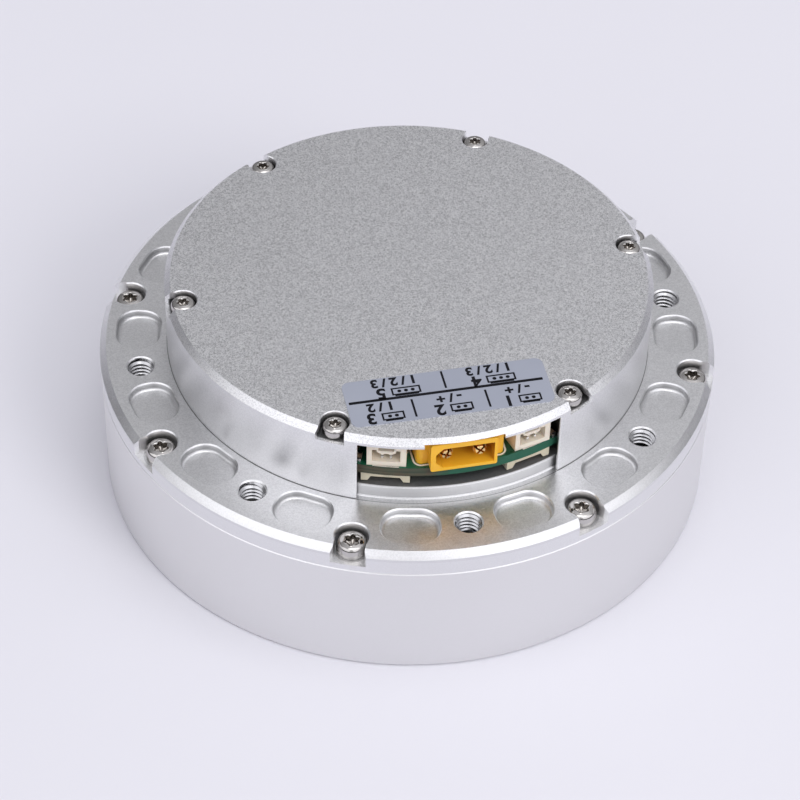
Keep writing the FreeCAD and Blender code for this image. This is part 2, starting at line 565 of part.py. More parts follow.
def yz_plug():
    nose = box(CX - 4.95, CX + 4.95, NOSE_Y, -27.0, Z0, Z0 + 5.2)
    nose = nose.makeFillet(0.35, [e for e in nose.Edges if abs(e.Vertexes[0].X - e.Vertexes[1].X) < 1e-6 and abs(e.Vertexes[0].Z - e.Vertexes[1].Z) < 1e-6])
    foot = box(CX - 6.6, CX + 6.5, -34.65, -26.0, Z0, Z0 + 4.9)
    foot = foot.makeFillet(0.8, edges_where(foot, vertical))
    s = nose.fuse(foot).removeSplitter()
    cav_pts = [(-4.2, 1.65), (-3.1, 0.55), (4.5, 0.55), (4.5, 4.3), (-3.1, 4.3), (-4.2, 3.2)]
    w = Part.makePolygon([V(CX + a, NOSE_Y - 0.5, Z0 + b) for a, b in cav_pts + cav_pts[:1]])
    s = s.cut(Part.Face(w).extrude(V(0, 6.6, 0)))
    pins = []
    for sx in (-2.5, 2.5):
        hole = Part.makeCylinder(1.05, 5.0, V(CX + sx, -31.5, Z0 + 2.55), V(0, 1, 0))
        s = s.cut(hole)
        p = Part.makeCylinder(0.98, 6.9, V(CX + sx, -35.55, Z0 + 2.55), V(0, 1, 0))
        front = Part.makeSphere(0.98, V(CX + sx, -35.35, Z0 + 2.55))
        front = front.common(box(CX + sx - 2, CX + sx + 2, -36.05, -35.0, Z0, Z0 + 6))
        p = p.fuse(front)
        slot1 = box(CX + sx - 0.16, CX + sx + 0.16, -37, -32.6, Z0, Z0 + 6)
        slot2 = box(CX + sx - 2, CX + sx + 2, -37, -32.6, Z0 + 2.55 - 0.16, Z0 + 2.55 + 0.16)
        for sl in (slot1, slot2):
            sl.rotate(V(CX + sx, 0, Z0 + 2.55), V(0, 1, 0), 20 if sx < 0 else 40)
            p = p.cut(sl)
        pins.append(p)
    return s, pins


plug, pins = yz_plug()
export("power_connector_shell", plug)
export("power_connector_pins", pins)


def gh_header(pitches, w, h, depth):
    """Side-entry header drawn facing -Y, sitting on Z = 0, front at y = 0, with a latch window in its top edge."""
    s = box(-w / 2, w / 2, 0, depth, 0, h)
    s = s.cut(box(-w / 2 + 0.75, w / 2 - 0.85, -1, depth - 1.2, 0.8, h - 1.0))
    s = s.cut(box(-1.42, 1.3, -1, 2.2, h - 1.3, h + 1))
    lip = [(-1.35, h - 1.4), (-1.35, h - 1.7), (-0.95, h - 1.9), (-0.62, h - 2.2), (-0.25, h - 1.9), (0.25, h - 1.9), (0.62, h - 2.2), (0.95, h - 1.9),
           (1.35, h - 1.7), (1.35, h - 1.4)]
    wire = Part.makePolygon([V(a, 0.25, b) for a, b in lip + lip[:1]])
    s = s.fuse(Part.Face(wire).extrude(V(0, 2.2, 0)))
    s = s.fuse(box(-1.45, -1.2, 0.25, 2.4, h - 1.7, h)).fuse(box(1.1, 1.35, 0.25, 2.4, h - 1.7, h)).removeSplitter()
    pins = []
    for k in range(pitches):
        x = (k - (pitches - 1) / 2.0) * 1.25
        p = box(x - 0.2, x + 0.2, 0.3, depth + 1.0, 1.1, 1.5)
        s = s.cut(box(x - 0.22, x + 0.22, depth - 1.6, depth + 2, 1.08, 1.52))
        p = p.makeChamfer(0.15, [e for e in p.Edges if abs(e.CenterOfMass.y - 0.3) < 1e-6])
        pins.append(p)
    return s, pins


sh2, pn2 = gh_header(2, 5.75, 4.05, 5.0)
signal_pins = []
for name, turn, x, y in (("can_connector", -15.7, -10.64, -34.03), ("aux_power_connector", 14.6, 11.2, -33.97)):
    export(name + "_shell", placed(sh2, turn, x, y, Z_PCB1))
    signal_pins += [placed(p, turn, x, y, Z_PCB1) for p in pn2]
export("upper_connector_pins", signal_pins)


def low_header(w, h, depth):
    """Low-profile header under the board, drawn facing -Y with its top on Z = 0: two feet, a bridge between."""
    s = box(-w / 2, w / 2, 0, depth, -h, 0)
    s = s.cut(box(-w / 2 + 0.93, w / 2 - 0.93, -1, depth - 0.9, -h - 1, -0.76))
    for sg in (-1, 1):
        pts = [(sg * (w / 2 - 0.90), -h), (sg * (w / 2 - 0.90), -0.74), (sg * (w / 2 - 1.44), -0.74), (sg * (w / 2 - 0.95), -h)]
        wv = Part.makePolygon([V(a, 0, b) for a, b in pts + pts[:1]])
        s = s.fuse(Part.Face(wv).extrude(V(0, depth - 1.0, 0)))
    s = s.removeSplitter()
    pins = []
    for k in range(3):
        x = (k - 1) * 1.25
        pins.append(box(x - 0.15, x + 0.15, 0.8, depth - 0.9, -1.2, -0.9))
    return s, pins


lh, lp = low_header(7.15, 1.6, 4.2)
signal_pins = []
for name, turn, x, y in (("serial_connector", -16.4, -10.74, -34.0), ("debug_connector", 16.4, 10.66, -34.15)):
    export(name + "_shell", placed(lh, turn, x, y, Z_PCB0))
    signal_pins += [placed(p, turn, x, y, Z_PCB0) for p in lp]
export("lower_connector_pins", signal_pins)

# components on the board
mos = []
for k in range(6):
    m = box(-2.5, 2.5, -3.0, 3.0, Z_PCB0 - 1.0, Z_PCB0)
    m = m.makeChamfer(0.15, edges_where(m, lambda e: flat_at(e, Z_PCB0 - 1.0)))
    mos.append(placed(m, 0, -17.0 + 6.8 * k, 16.5))
export("mosfets", mos)
export("thermal_pad", box(-20.5, 20.5, 12.8, 20.2, Z_PLAT, Z_PCB0 - 1.0))
shunts = [box(x - 3.2, x + 3.2, 10.4, 13.6, Z_PCB1, Z_PCB1 + 0.8) for x in (-12.0, 0.0, 12.0)]
ind = box(-3.4, 3.4, -3.4, 3.4, Z_PCB1, Z_PCB1 + 3.0)
ind = ind.makeFillet(0.8, edges_where(ind, vertical))
export("power_inductor", placed(ind, 0, 15.5, 2.5))
mcu = box(-3.5, 3.5, -3.5, 3.5, Z_PCB1, Z_PCB1 + 0.9)
mcu = mcu.makeChamfer(0.15, edges_where(mcu, lambda e: flat_at(e, Z_PCB1 + 0.9)))
gd = box(-3.0, 3.0, -3.0, 3.0, Z_PCB1, Z_PCB1 + 0.8)
gd = gd.makeChamfer(0.12, edges_where(gd, lambda e: flat_at(e, Z_PCB1 + 0.8)))
export("driver_chips", [placed(mcu, 45, 0, -9.0), placed(gd, 0, 0, 1.5)])
ei = box(-1.5, 1.5, -1.5, 1.5, Z_PCB0 - 0.8, Z_PCB0)
export("encoder_sensor", ei)
caps = []
for x, y in ((-24.5, 0.0), (-18.4, -7.0), (24.5, 0.0), (18.4, -7.0), (0.0, 25.5)):
    c = cyl(3.1, Z_PCB1 + 0.6, Z_PCB1 + 5.0, x, y)
    c = c.makeFillet(0.3, edges_where(c, lambda e: flat_at(e, Z_PCB1 + 5.0)))
    b = box(x - 3.25, x + 3.25, y - 3.25, y + 3.25, Z_PCB1, Z_PCB1 + 0.62)
    caps.append(c.fuse(b))
export("capacitors", caps)
chips = []
for x, y in ((-17, -22), (-19.5, -19), (-13.5, -14), (-9, -19), (10, -18), (14, -20), (18.5, -17), (12, -12), (-12, -4), (12, -8), (-15.5, 3.5), (-10.5, 5.5),
             (-8, 20), (8, 20), (-14, 21), (14, 21), (-14.6, -26.6), (14.9, -26.5)):
    chips.append(box(x - 1.0, x + 1.0, y - 0.6, y + 0.6, Z_PCB1, Z_PCB1 + 0.7))
export("board_components", shunts + chips)

total = sum(v for _, _, v in built)
print("nodes", len(built), "volume cm3 %.1f" % (total / 1000))
for n in built:
    print("%-28s %3d solids %10.1f mm3" % n)
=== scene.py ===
import bpy, bmesh, math, random
from mathutils import Vector, Matrix


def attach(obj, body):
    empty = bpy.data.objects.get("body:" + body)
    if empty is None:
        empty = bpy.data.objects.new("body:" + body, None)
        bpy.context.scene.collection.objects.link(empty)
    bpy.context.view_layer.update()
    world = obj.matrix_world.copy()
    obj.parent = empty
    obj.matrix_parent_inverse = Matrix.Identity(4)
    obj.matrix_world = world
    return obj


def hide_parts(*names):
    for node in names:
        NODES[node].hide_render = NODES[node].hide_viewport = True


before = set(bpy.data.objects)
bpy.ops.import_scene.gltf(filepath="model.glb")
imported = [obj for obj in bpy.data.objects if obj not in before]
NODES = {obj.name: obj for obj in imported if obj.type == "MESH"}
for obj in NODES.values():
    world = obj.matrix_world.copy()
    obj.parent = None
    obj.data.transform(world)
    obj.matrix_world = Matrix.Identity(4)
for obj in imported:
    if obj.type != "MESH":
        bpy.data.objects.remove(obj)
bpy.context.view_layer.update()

random.seed(11)
MM = 0.001

# ------------------------------------------------------------------ sizes shared with the model, in millimetres
Z_SEAM, Z_FLANGE, Z_PLAT, Z_TOP = 20.06, 24.07, 26.28, 36.43
Z_PCB0, Z_PCB1 = 28.2, 29.8
R_MOUNT, R_M4 = 42.0, 2.0
R_FSCREW, Z_FSEAT = 44.8, 21.20
R_CSCREW, Z_CSEAT = 35.0, 34.55
CX, NOSE_FRONT = 0.32, -36.56


# ================================================================== helpers
def at(deg, r):
    a = math.radians(deg)
    return r * math.cos(a), r * math.sin(a)


def mesh_object(name, verts, faces, mats, body, slot, face_mats=None, smooth=True, sharp=35.0):
    """Mesh in millimetres, row frame; joined to a body."""
    me = bpy.data.meshes.new(name)
    me.from_pydata([(x * MM, y * MM, z * MM) for x, y, z in verts], [], faces)
    me.update()
    ob = bpy.data.objects.new(name, me)
    bpy.context.scene.collection.objects.link(ob)
    for m in mats if isinstance(mats, (list, tuple)) else [mats]:
        me.materials.append(m)
    if face_mats:
        for p, i in zip(me.polygons, face_mats):
            p.material_index = i
    bm = bmesh.new()
    bm.from_mesh(me)
    bmesh.ops.recalc_face_normals(bm, faces=bm.faces)
    bm.to_mesh(me)
    bm.free()
    if smooth:
        me.shade_smooth()
        lim = math.radians(sharp)
        me.set_sharp_from_angle(angle=lim)
    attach(ob, body)
    return ob


class Builder:
    """Collects vertices and faces of one piece."""

    def __init__(self):
        self.v, self.f, self.m = [], [], []

    def add(self, verts, faces, mat=0):
        o = len(self.v)
        self.v += verts
        self.f += [tuple(i + o for i in f) for f in faces]
        self.m += [mat] * len(faces)

    def box(self, x0, x1, y0, y1, z0, z1, mat=0, place=None):
        vs = [(x, y, z) for z in (z0, z1) for y in (y0, y1) for x in (x0, x1)]
        if place:
            vs = [place(v) for v in vs]
        self.add(vs, [(0, 2, 3, 1), (4, 5, 7, 6), (0, 1, 5, 4), (2, 6, 7, 3), (0, 4, 6, 2), (1, 3, 7, 5)], mat)

    def prism(self, pts, z0, z1, mat=0, place=None):
        n = len(pts)
        vs = [(x, y, z0) for x, y in pts] + [(x, y, z1) for x, y in pts]
        if place:
            vs = [place(v) for v in vs]
        fs = [tuple(reversed(range(n))), tuple(range(n, 2 * n))]
        fs += [(i, (i + 1) % n, n + (i + 1) % n, n + i) for i in range(n)]
        self.add(vs, fs, mat)

    def rings(self, rows, mat=0, close_start=False, close_end=False, mats=None):
        """Rows of equal point loops, skinned together."""
        n = len(rows[0])
        vs = [p for r in rows for p in r]
        fs, ms = [], []
        for i in range(len(rows) - 1):
            for j in range(n):
                k = (j + 1) % n
                fs.append((i * n + j, i * n + k, (i + 1) * n + k, (i + 1) * n + j))
                ms.append(mats[i] if mats else mat)
        if close_start:
            fs.append(tuple(reversed(range(n))))
            ms.append(mats[0] if mats else mat)
        if close_end:
            fs.append(tuple(range((len(rows) - 1) * n, len(rows) * n)))
            ms.append(mats[-1] if mats else mat)
        o = len(self.v)
        self.v += vs
        self.f += [tuple(i + o for i in f) for f in fs]
        self.m += ms

    def build(self, name, mats, body, slot, **k):
        return mesh_object(name, self.v, self.f, mats, body, slot, face_mats=self.m, **k)


# ================================================================== materials
def material(name):
    m = bpy.data.materials.new(name)
    m.use_nodes = True
    nt = m.node_tree
    nt.nodes.clear()
    out = nt.nodes.new("ShaderNodeOutputMaterial")
    bs = nt.nodes.new("ShaderNodeBsdfPrincipled")
    nt.links.new(bs.outputs[0], out.inputs[0])
    return m, nt, bs


def N(nt, kind, **props):
    n = nt.nodes.new(kind)
    for k, v in props.items():
        setattr(n, k, v)
    return n


def coords(nt, scale=(1, 1, 1)):
    t = N(nt, "ShaderNodeTexCoord")
    mp = N(nt, "ShaderNodeMapping")
    mp.inputs["Scale"].default_value = scale
    nt.links.new(t.outputs["Object"], mp.inputs["Vector"])
    return mp.outputs[0]


def noise(nt, vec, scale, detail=2.0, rough=0.5, dist=0.0):
    n = N(nt, "ShaderNodeTexNoise")
    n.inputs["Scale"].default_value = scale
    n.inputs["Detail"].default_value = detail
    n.inputs["Roughness"].default_value = rough
    n.inputs["Distortion"].default_value = dist
    nt.links.new(vec, n.inputs["Vector"])
    return n.outputs["Fac"]


def remap(nt, val, a, b, lo, hi, clamp=True):
    n = N(nt, "ShaderNodeMapRange")
    n.clamp = clamp
    n.inputs["From Min"].default_value = a
    n.inputs["From Max"].default_value = b
    n.inputs["To Min"].default_value = lo
    n.inputs["To Max"].default_value = hi
    nt.links.new(val, n.inputs["Value"])
    return n.outputs["Result"]


def math_node(nt, op, a, b=None, c=None):
    n = N(nt, "ShaderNodeMath", operation=op)
    for i, v in enumerate((a, b, c)):
        if v is None:
            continue
        if isinstance(v, (int, float)):
            n.inputs[i].default_value = v
        else:
            nt.links.new(v, n.inputs[i])
    return n.outputs[0]


def mix_col(nt, fac, a, b, mode="MIX"):
    n = N(nt, "ShaderNodeMix", data_type="RGBA", blend_type=mode)
    ins = [i for i in n.inputs if i.enabled or i.type in ("VALUE", "RGBA")]
    f = n.inputs[0]
    ca, cb = n.inputs[6], n.inputs[7]
    if isinstance(fac, (int, float)):
        f.default_value = fac
    else:
        nt.links.new(fac, f)
    for s, v in ((ca, a), (cb, b)):
        if isinstance(v, (tuple, list)):
            s.default_value = (*v[:3], 1.0)
        else:
            nt.links.new(v, s)
    return n.outputs[2]


def bump(nt, bs, height, dist, strength=1.0, chain=None):
    b = N(nt, "ShaderNodeBump")
    b.inputs["Strength"].default_value = strength
    b.inputs["Distance"].default_value = dist
    nt.links.new(height, b.inputs["Height"])
    if chain is not None:
        nt.links.new(chain, b.inputs["Normal"])
    nt.links.new(b.outputs[0], bs.inputs["Normal"])
    return b.outputs[0]


def polar(nt, v):
    """Radius and height in millimetres, and the angle about the Z axis, of the point being shaded."""
    mm = N(nt, "ShaderNodeVectorMath", operation="SCALE")
    mm.inputs["Scale"].default_value = 1000.0
    nt.links.new(v, mm.inputs[0])
    sp_ = N(nt, "ShaderNodeSeparateXYZ")
    nt.links.new(mm.outputs[0], sp_.inputs[0])
    x, y, z = sp_.outputs
    r = math_node(nt, "SQRT", math_node(nt, "ADD", math_node(nt, "MULTIPLY", x, x), math_node(nt, "MULTIPLY", y, y)))
    return r, math_node(nt, "ARCTAN2", y, x), z


def from_feature(nt, r, ang, radius, step_deg, phase_deg):
    """Distance from the nearest of a ring of equal features, in millimetres."""
    st, ph = math.radians(step_deg), math.radians(phase_deg)
    a = math_node(nt, "SUBTRACT", ang, ph)
    k = math_node(nt, "ROUND", math_node(nt, "DIVIDE", a, st))
    a = math_node(nt, "SUBTRACT", a, math_node(nt, "MULTIPLY", k, st))
    lx = math_node(nt, "SUBTRACT", math_node(nt, "MULTIPLY", r, math_node(nt, "COSINE", a)), radius)
    ly = math_node(nt, "MULTIPLY", r, math_node(nt, "SINE", a))
    return math_node(nt, "SQRT", math_node(nt, "ADD", math_node(nt, "MULTIPLY", lx, lx), math_node(nt, "MULTIPLY", ly, ly)))


def below(nt, val, limit, soft):
    return remap(nt, val, limit - soft, limit + soft, 1.0, 0.0)


def shade_flange(nt, v):
    """Painted shade in the tapped holes, the screw seats, round the pocket walls, on the pocket floors, on the platform
    under the board and on its step wall, a painted dark hairline of shadow round the driver cover, and painted light on
    the face in front of the connector window.
    """
    r, ang, z = polar(nt, v)
    hole = math_node(nt, "MULTIPLY", below(nt, from_feature(nt, r, ang, R_MOUNT, 45.0, 0.0), 2.10, 0.03), below(nt, z, 23.72, 0.05))
    seat = math_node(nt, "MULTIPLY", below(nt, from_feature(nt, r, ang, R_FSCREW, 45.0, 22.5), 2.66, 0.04), below(nt, z, 23.50, 0.22))
    # painted shadow: a dark hairline where the driver cover stands on the flange
    line = math_node(nt, "MULTIPLY", below(nt, math_node(nt, "ABSOLUTE", math_node(nt, "SUBTRACT", r, 37.54)), 0.06, 0.04), remap(nt, z, 23.9, 24.0, 0.0, 1.0))
    # distance to the wall of the nearest pocket: a rounded trapezium between two radii
    st = math.radians(45.0)
    a = math_node(nt, "SUBTRACT", ang, math_node(nt, "MULTIPLY", math_node(nt, "ROUND", math_node(nt, "DIVIDE", ang, st)), st))
    a = math_node(nt, "SUBTRACT", math_node(nt, "ABSOLUTE", a), math.radians(11.6))
    ly = math_node(nt, "MULTIPLY", r, math_node(nt, "ABSOLUTE", a))
    qy = math_node(nt, "SUBTRACT", ly, math_node(nt, "MULTIPLY_ADD", r, 0.10385, -3.1))
    qx = math_node(nt, "SUBTRACT", math_node(nt, "ABSOLUTE", math_node(nt, "SUBTRACT", r, 42.0)), 0.3)
    px, py = math_node(nt, "MAXIMUM", qx, 0.0), math_node(nt, "MAXIMUM", qy, 0.0)
    wall = math_node(nt, "SUBTRACT", math_node(nt, "SQRT", math_node(nt, "ADD", math_node(nt, "MULTIPLY", px, px), math_node(nt, "MULTIPLY", py, py))), 3.1)
    wall = math_node(nt, "MULTIPLY", math_node(nt, "MULTIPLY", remap(nt, wall, -0.75, 0.02, 0.0, 1.0), below(nt, wall, 0.25, 0.05)), below(nt, z, 23.78, 0.06))
    pocket_floor = math_node(nt, "MULTIPLY", below(nt, z, 23.3, 0.2), remap(nt, z, 22.5, 22.6, 0.0, 1.0))
    plat = math_node(nt, "MULTIPLY", remap(nt, z, 26.15, 26.25, 0.0, 1.0), below(nt, r, 36.25, 0.05))
    # painted shade: the colour is darkened in the tapped holes, round the pocket walls, on the pocket floors and on the
    # platform under the board
    keep = math_node(nt, "SUBTRACT", 1.0, math_node(nt, "MULTIPLY", hole, 0.72))
    keep = math_node(nt, "MULTIPLY", keep, math_node(nt, "SUBTRACT", 1.0, math_node(nt, "MULTIPLY", wall, 0.30)))
    keep = math_node(nt, "MULTIPLY", keep, math_node(nt, "SUBTRACT", 1.0, math_node(nt, "MULTIPLY", pocket_floor, 0.05)))
    keep = math_node(nt, "MULTIPLY", keep, math_node(nt, "SUBTRACT", 1.0, math_node(nt, "MULTIPLY", plat, 0.50)))
    # painted shade on the platform's step wall and in the screw seats
    step_wall = math_node(nt, "MULTIPLY", below(nt, r, 37.35, 0.05), remap(nt, z, 24.1, 24.2, 0.0, 1.0))
    keep = math_node(nt, "MULTIPLY", keep, math_node(nt, "SUBTRACT", 1.0, math_node(nt, "MULTIPLY", step_wall, 0.22)))
    keep = math_node(nt, "MULTIPLY", keep, math_node(nt, "SUBTRACT", 1.0, math_node(nt, "MULTIPLY", seat, 0.26)))
    # painted light: the face in front of the connector window is made lighter
    front = remap(nt, math_node(nt, "ABSOLUTE", math_node(nt, "ADD", ang, math.radians(91.0))), math.radians(19.0), math.radians(27.0), 1.0, 0.0)
    front = math_node(nt, "MULTIPLY", front, math_node(nt, "MULTIPLY", below(nt, r, 43.5, 2.5), remap(nt, r, 37.4, 37.6, 0.0, 1.0)))
    keep = math_node(nt, "MULTIPLY", keep, math_node(nt, "MULTIPLY_ADD", front, 0.20, 1.0))
    return math_node(nt, "MULTIPLY", keep, math_node(nt, "SUBTRACT", 1.0, math_node(nt, "MULTIPLY", line, 0.60)))


def rough_flange(nt, v):
    """The raised platform under the board is coarser than the rest."""
    r, ang, z = polar(nt, v)
    return math_node(nt, "MULTIPLY", math_node(nt, "MULTIPLY", remap(nt, z, 26.15, 26.25, 0.0, 1.0), below(nt, r, 36.6, 0.05)), 0.38)


def shade_cover(nt, v):
    # Painted shade in the cover's screw seats and inside the cover below its rim, and a painted shadow along the foot
    # of the skirt.
    r, ang, z = polar(nt, v)
    seat = math_node(nt, "MULTIPLY", below(nt, from_feature(nt, r, ang, R_CSCREW, 60.0, 0.0), 2.24, 0.04), below(nt, z, 35.75, 0.28))
    foot = below(nt, z, 24.17, 0.04)
    inside = math_node(nt, "MULTIPLY", below(nt, r, 37.0, 0.12), below(nt, z, 35.2, 0.05))
    keep = math_node(nt, "SUBTRACT", 1.0, math_node(nt, "MULTIPLY", seat, 0.28))
    keep = math_node(nt, "MULTIPLY", keep, math_node(nt, "SUBTRACT", 1.0, math_node(nt, "MULTIPLY", inside, 0.80)))
    return math_node(nt, "MULTIPLY", keep, math_node(nt, "SUBTRACT", 1.0, math_node(nt, "MULTIPLY", foot, 0.6)))


def shade_wall(nt, v):
    """A painted highlight: a lighter band at the top of the front housing, where the two housings meet."""
    r, ang, z = polar(nt, v)
    return math_node(nt, "MULTIPLY_ADD", remap(nt, z, 19.82, 19.90, 0.0, 1.0), 0.20, 1.0)


def blasted(name, base, rough=0.42, grain=0.10, grain_size=0.32, bumpiness=0.012, mottle=0.03, scuffs=0.0, edge_highlight=0.06, shade=None, rough_more=None, upright=1.0):
    """Fine bead-blasted, clear anodised aluminium: sparkling grain, faint mottling, painted highlights on the broken
    edges, optional scuffs.
    """
    m, nt, bs = material(name)
    v = coords(nt)
    g1 = noise(nt, v, 1000.0 / grain_size, 2.0, 0.7)
    g2 = noise(nt, v, 1000.0 / (grain_size * 1.9), 1.0, 0.5)
    big = noise(nt, v, 30.0, 2.0, 0.5)
    fine = math_node(nt, "MULTIPLY_ADD", g2, 0.25, math_node(nt, "MULTIPLY", g1, 0.75))
    # slanted faces are the broken edges, which get a painted highlight; upright walls have finer grain than the flat
    # top
    geo = N(nt, "ShaderNodeTexCoord")
    sep = N(nt, "ShaderNodeSeparateXYZ")
    nt.links.new(geo.outputs["Normal"], sep.inputs[0])
    slant = math_node(nt, "ABSOLUTE", sep.outputs[2])
    grain_here = remap(nt, slant, 0.3, 0.95, grain * 0.22, grain)
    tone = math_node(nt, "MULTIPLY_ADD", remap(nt, fine, 0.36, 0.64, -1.0, 1.0), grain_here, 1.0)
    tone = math_node(nt, "MULTIPLY", tone, remap(nt, big, 0.3, 0.7, 1.0 - mottle, 1.0 + mottle))
    edge = math_node(nt, "MULTIPLY", remap(nt, slant, 0.25, 0.45, 0.0, 1.0), remap(nt, slant, 0.85, 0.97, 1.0, 0.0))
    tone = math_node(nt, "MULTIPLY_ADD", edge, edge_highlight, tone)
    # the tone of upright walls is scaled by the upright factor
    if upright != 1.0:
        tone = math_node(nt, "MULTIPLY", tone, remap(nt, slant, 0.05, 0.25, upright, 1.0))
    if shade:
        tone = math_node(nt, "MULTIPLY", tone, shade(nt, v))
    rgb = N(nt, "ShaderNodeCombineColor")
    for i in range(3):
        nt.links.new(math_node(nt, "MULTIPLY", tone, base[i]), rgb.inputs[i])
    col = rgb.outputs[0]
    r = remap(nt, fine, 0.35, 0.65, rough - 0.05, rough + 0.06)
    if rough_more:
        r = math_node(nt, "ADD", r, rough_more(nt, v))
    height = fine
    if scuffs > 0:
        w = N(nt, "ShaderNodeTexVoronoi", feature="F1")
        w.inputs["Scale"].default_value = 46.0
        w.inputs["Randomness"].default_value = 1.0
        warped = N(nt, "ShaderNodeVectorMath", operation="ADD")
        nz = N(nt, "ShaderNodeTexNoise")
        nz.inputs["Scale"].default_value = 260.0
        nz.inputs["Detail"].default_value = 3.0
        nt.links.new(v, nz.inputs["Vector"])
        sc = N(nt, "ShaderNodeVectorMath", operation="SCALE")
        sc.inputs["Scale"].default_value = 0.004
        nt.links.new(nz.outputs["Color"], sc.inputs[0])
        nt.links.new(v, warped.inputs[0])
        nt.links.new(sc.outputs[0], warped.inputs[1])
        nt.links.new(warped.outputs[0], w.inputs["Vector"])
        spot = remap(nt, w.outputs["Distance"], 0.0, 0.055, 1.0, 0.0)
        keep = remap(nt, noise(nt, v, 23.0, 1.0, 0.5), 0.55, 0.62, 0.0, 1.0)
        spot = math_node(nt, "MULTIPLY", math_node(nt, "MULTIPLY", spot, keep), scuffs)
        col = mix_col(nt, spot, col, (base[0] * 0.66, base[1] * 0.66, base[2] * 0.64))
        r = math_node(nt, "MULTIPLY_ADD", spot, -0.12, r)
    nt.links.new(col, bs.inputs["Base Color"])
    nt.links.new(r, bs.inputs["Roughness"])
    bs.inputs["Metallic"].default_value = 1.0
    bs.inputs["Specular IOR Level"].default_value = 0.5
    bump(nt, bs, height, bumpiness * MM * 10, 0.35)
    return m


def turned(name, base, rough=0.3, pitch=0.25, strength=0.25, metallic=1.0, var=0.06):
    """Lathe-turned metal: fine rings about the Z axis with slight colour change."""
    m, nt, bs = material(name)
    v = coords(nt)
    sep = N(nt, "ShaderNodeSeparateXYZ")
    nt.links.new(v, sep.inputs[0])
    r2 = math_node(nt, "SQRT", math_node(nt, "ADD", math_node(nt, "MULTIPLY", sep.outputs[0], sep.outputs[0]), math_node(nt, "MULTIPLY", sep.outputs[1], sep.outputs[1])))
    comb = N(nt, "ShaderNodeCombineXYZ")
    nt.links.new(r2, comb.inputs[0])
    nt.links.new(sep.outputs[2], comb.inputs[1])
    g = noise(nt, comb.outputs[0], 1000.0 / pitch, 2.0, 0.6)
    s = noise(nt, v, 160.0, 3.0, 0.6)
    tone = math_node(nt, "MULTIPLY", remap(nt, g, 0.3, 0.7, 1 - var, 1 + var), remap(nt, s, 0.3, 0.7, 1 - var * 0.5, 1 + var * 0.5))
    rgb = N(nt, "ShaderNodeCombineColor")
    for i in range(3):
        nt.links.new(math_node(nt, "MULTIPLY", tone, base[i]), rgb.inputs[i])
    nt.links.new(rgb.outputs[0], bs.inputs["Base Color"])
    nt.links.new(remap(nt, g, 0.3, 0.7, rough - 0.06, rough + 0.08), bs.inputs["Roughness"])
    bs.inputs["Metallic"].default_value = metallic
    bump(nt, bs, g, 0.00002, strength)
    return m


def plain_metal(name, base, rough=0.25, var=0.08, scale=600.0, strength=0.12, aniso=0.0, spots=0.0):
    """Ground, rolled or plated metal with small tone and roughness changes."""
    m, nt, bs = material(name)
    v = coords(nt)
    g = noise(nt, v, scale, 3.0, 0.6)
    b = noise(nt, v, scale * 0.18, 2.0, 0.5)
    tone = math_node(nt, "MULTIPLY", remap(nt, g, 0.3, 0.7, 1 - var * 0.5, 1 + var * 0.5), remap(nt, b, 0.3, 0.7, 1 - var, 1 + var))
    rgb = N(nt, "ShaderNodeCombineColor")
    for i in range(3):
        nt.links.new(math_node(nt, "MULTIPLY", tone, base[i]), rgb.inputs[i])
    nt.links.new(rgb.outputs[0], bs.inputs["Base Color"])
    nt.links.new(remap(nt, g, 0.3, 0.7, max(0.03, rough - 0.05), rough + 0.07), bs.inputs["Roughness"])
    bs.inputs["Metallic"].default_value = 1.0
    bump(nt, bs, g, 0.000012, strength)
    return m


def shade_mouth(nt, v):
    """Share of the painted shade inside the power connector's mouth: strongest at the roof and the back of its mouth.
    """
    mm = N(nt, "ShaderNodeVectorMath", operation="SCALE")
    mm.inputs["Scale"].default_value = 1000.0
    nt.links.new(v, mm.inputs[0])
    s_ = N(nt, "ShaderNodeSeparateXYZ")
    nt.links.new(mm.outputs[0], s_.inputs[0])
    x, y, z = s_.outputs
    inside = math_node(nt, "MULTIPLY", remap(nt, y, NOSE_FRONT + 0.03, NOSE_FRONT + 0.30, 0.0, 1.0), below(nt, math_node(nt, "ABSOLUTE", math_node(nt, "SUBTRACT", x, CX + 0.15)), 4.42, 0.04))
    inside = math_node(nt, "MULTIPLY", inside, math_node(nt, "MULTIPLY", remap(nt, z, Z_PCB1 + 0.50, Z_PCB1 + 0.54, 0.0, 1.0), below(nt, z, Z_PCB1 + 4.36, 0.03)))
    up = remap(nt, z, Z_PCB1 + 0.55, Z_PCB1 + 3.6, 0.0, 1.0)
    back = remap(nt, y, NOSE_FRONT, NOSE_FRONT + 5.0, 0.30, 1.0)
    return math_node(nt, "MULTIPLY", inside, math_node(nt, "MINIMUM", math_node(nt, "ADD", math_node(nt, "MULTIPLY", up, 0.75), math_node(nt, "MULTIPLY", back, 0.28)), 1.0))


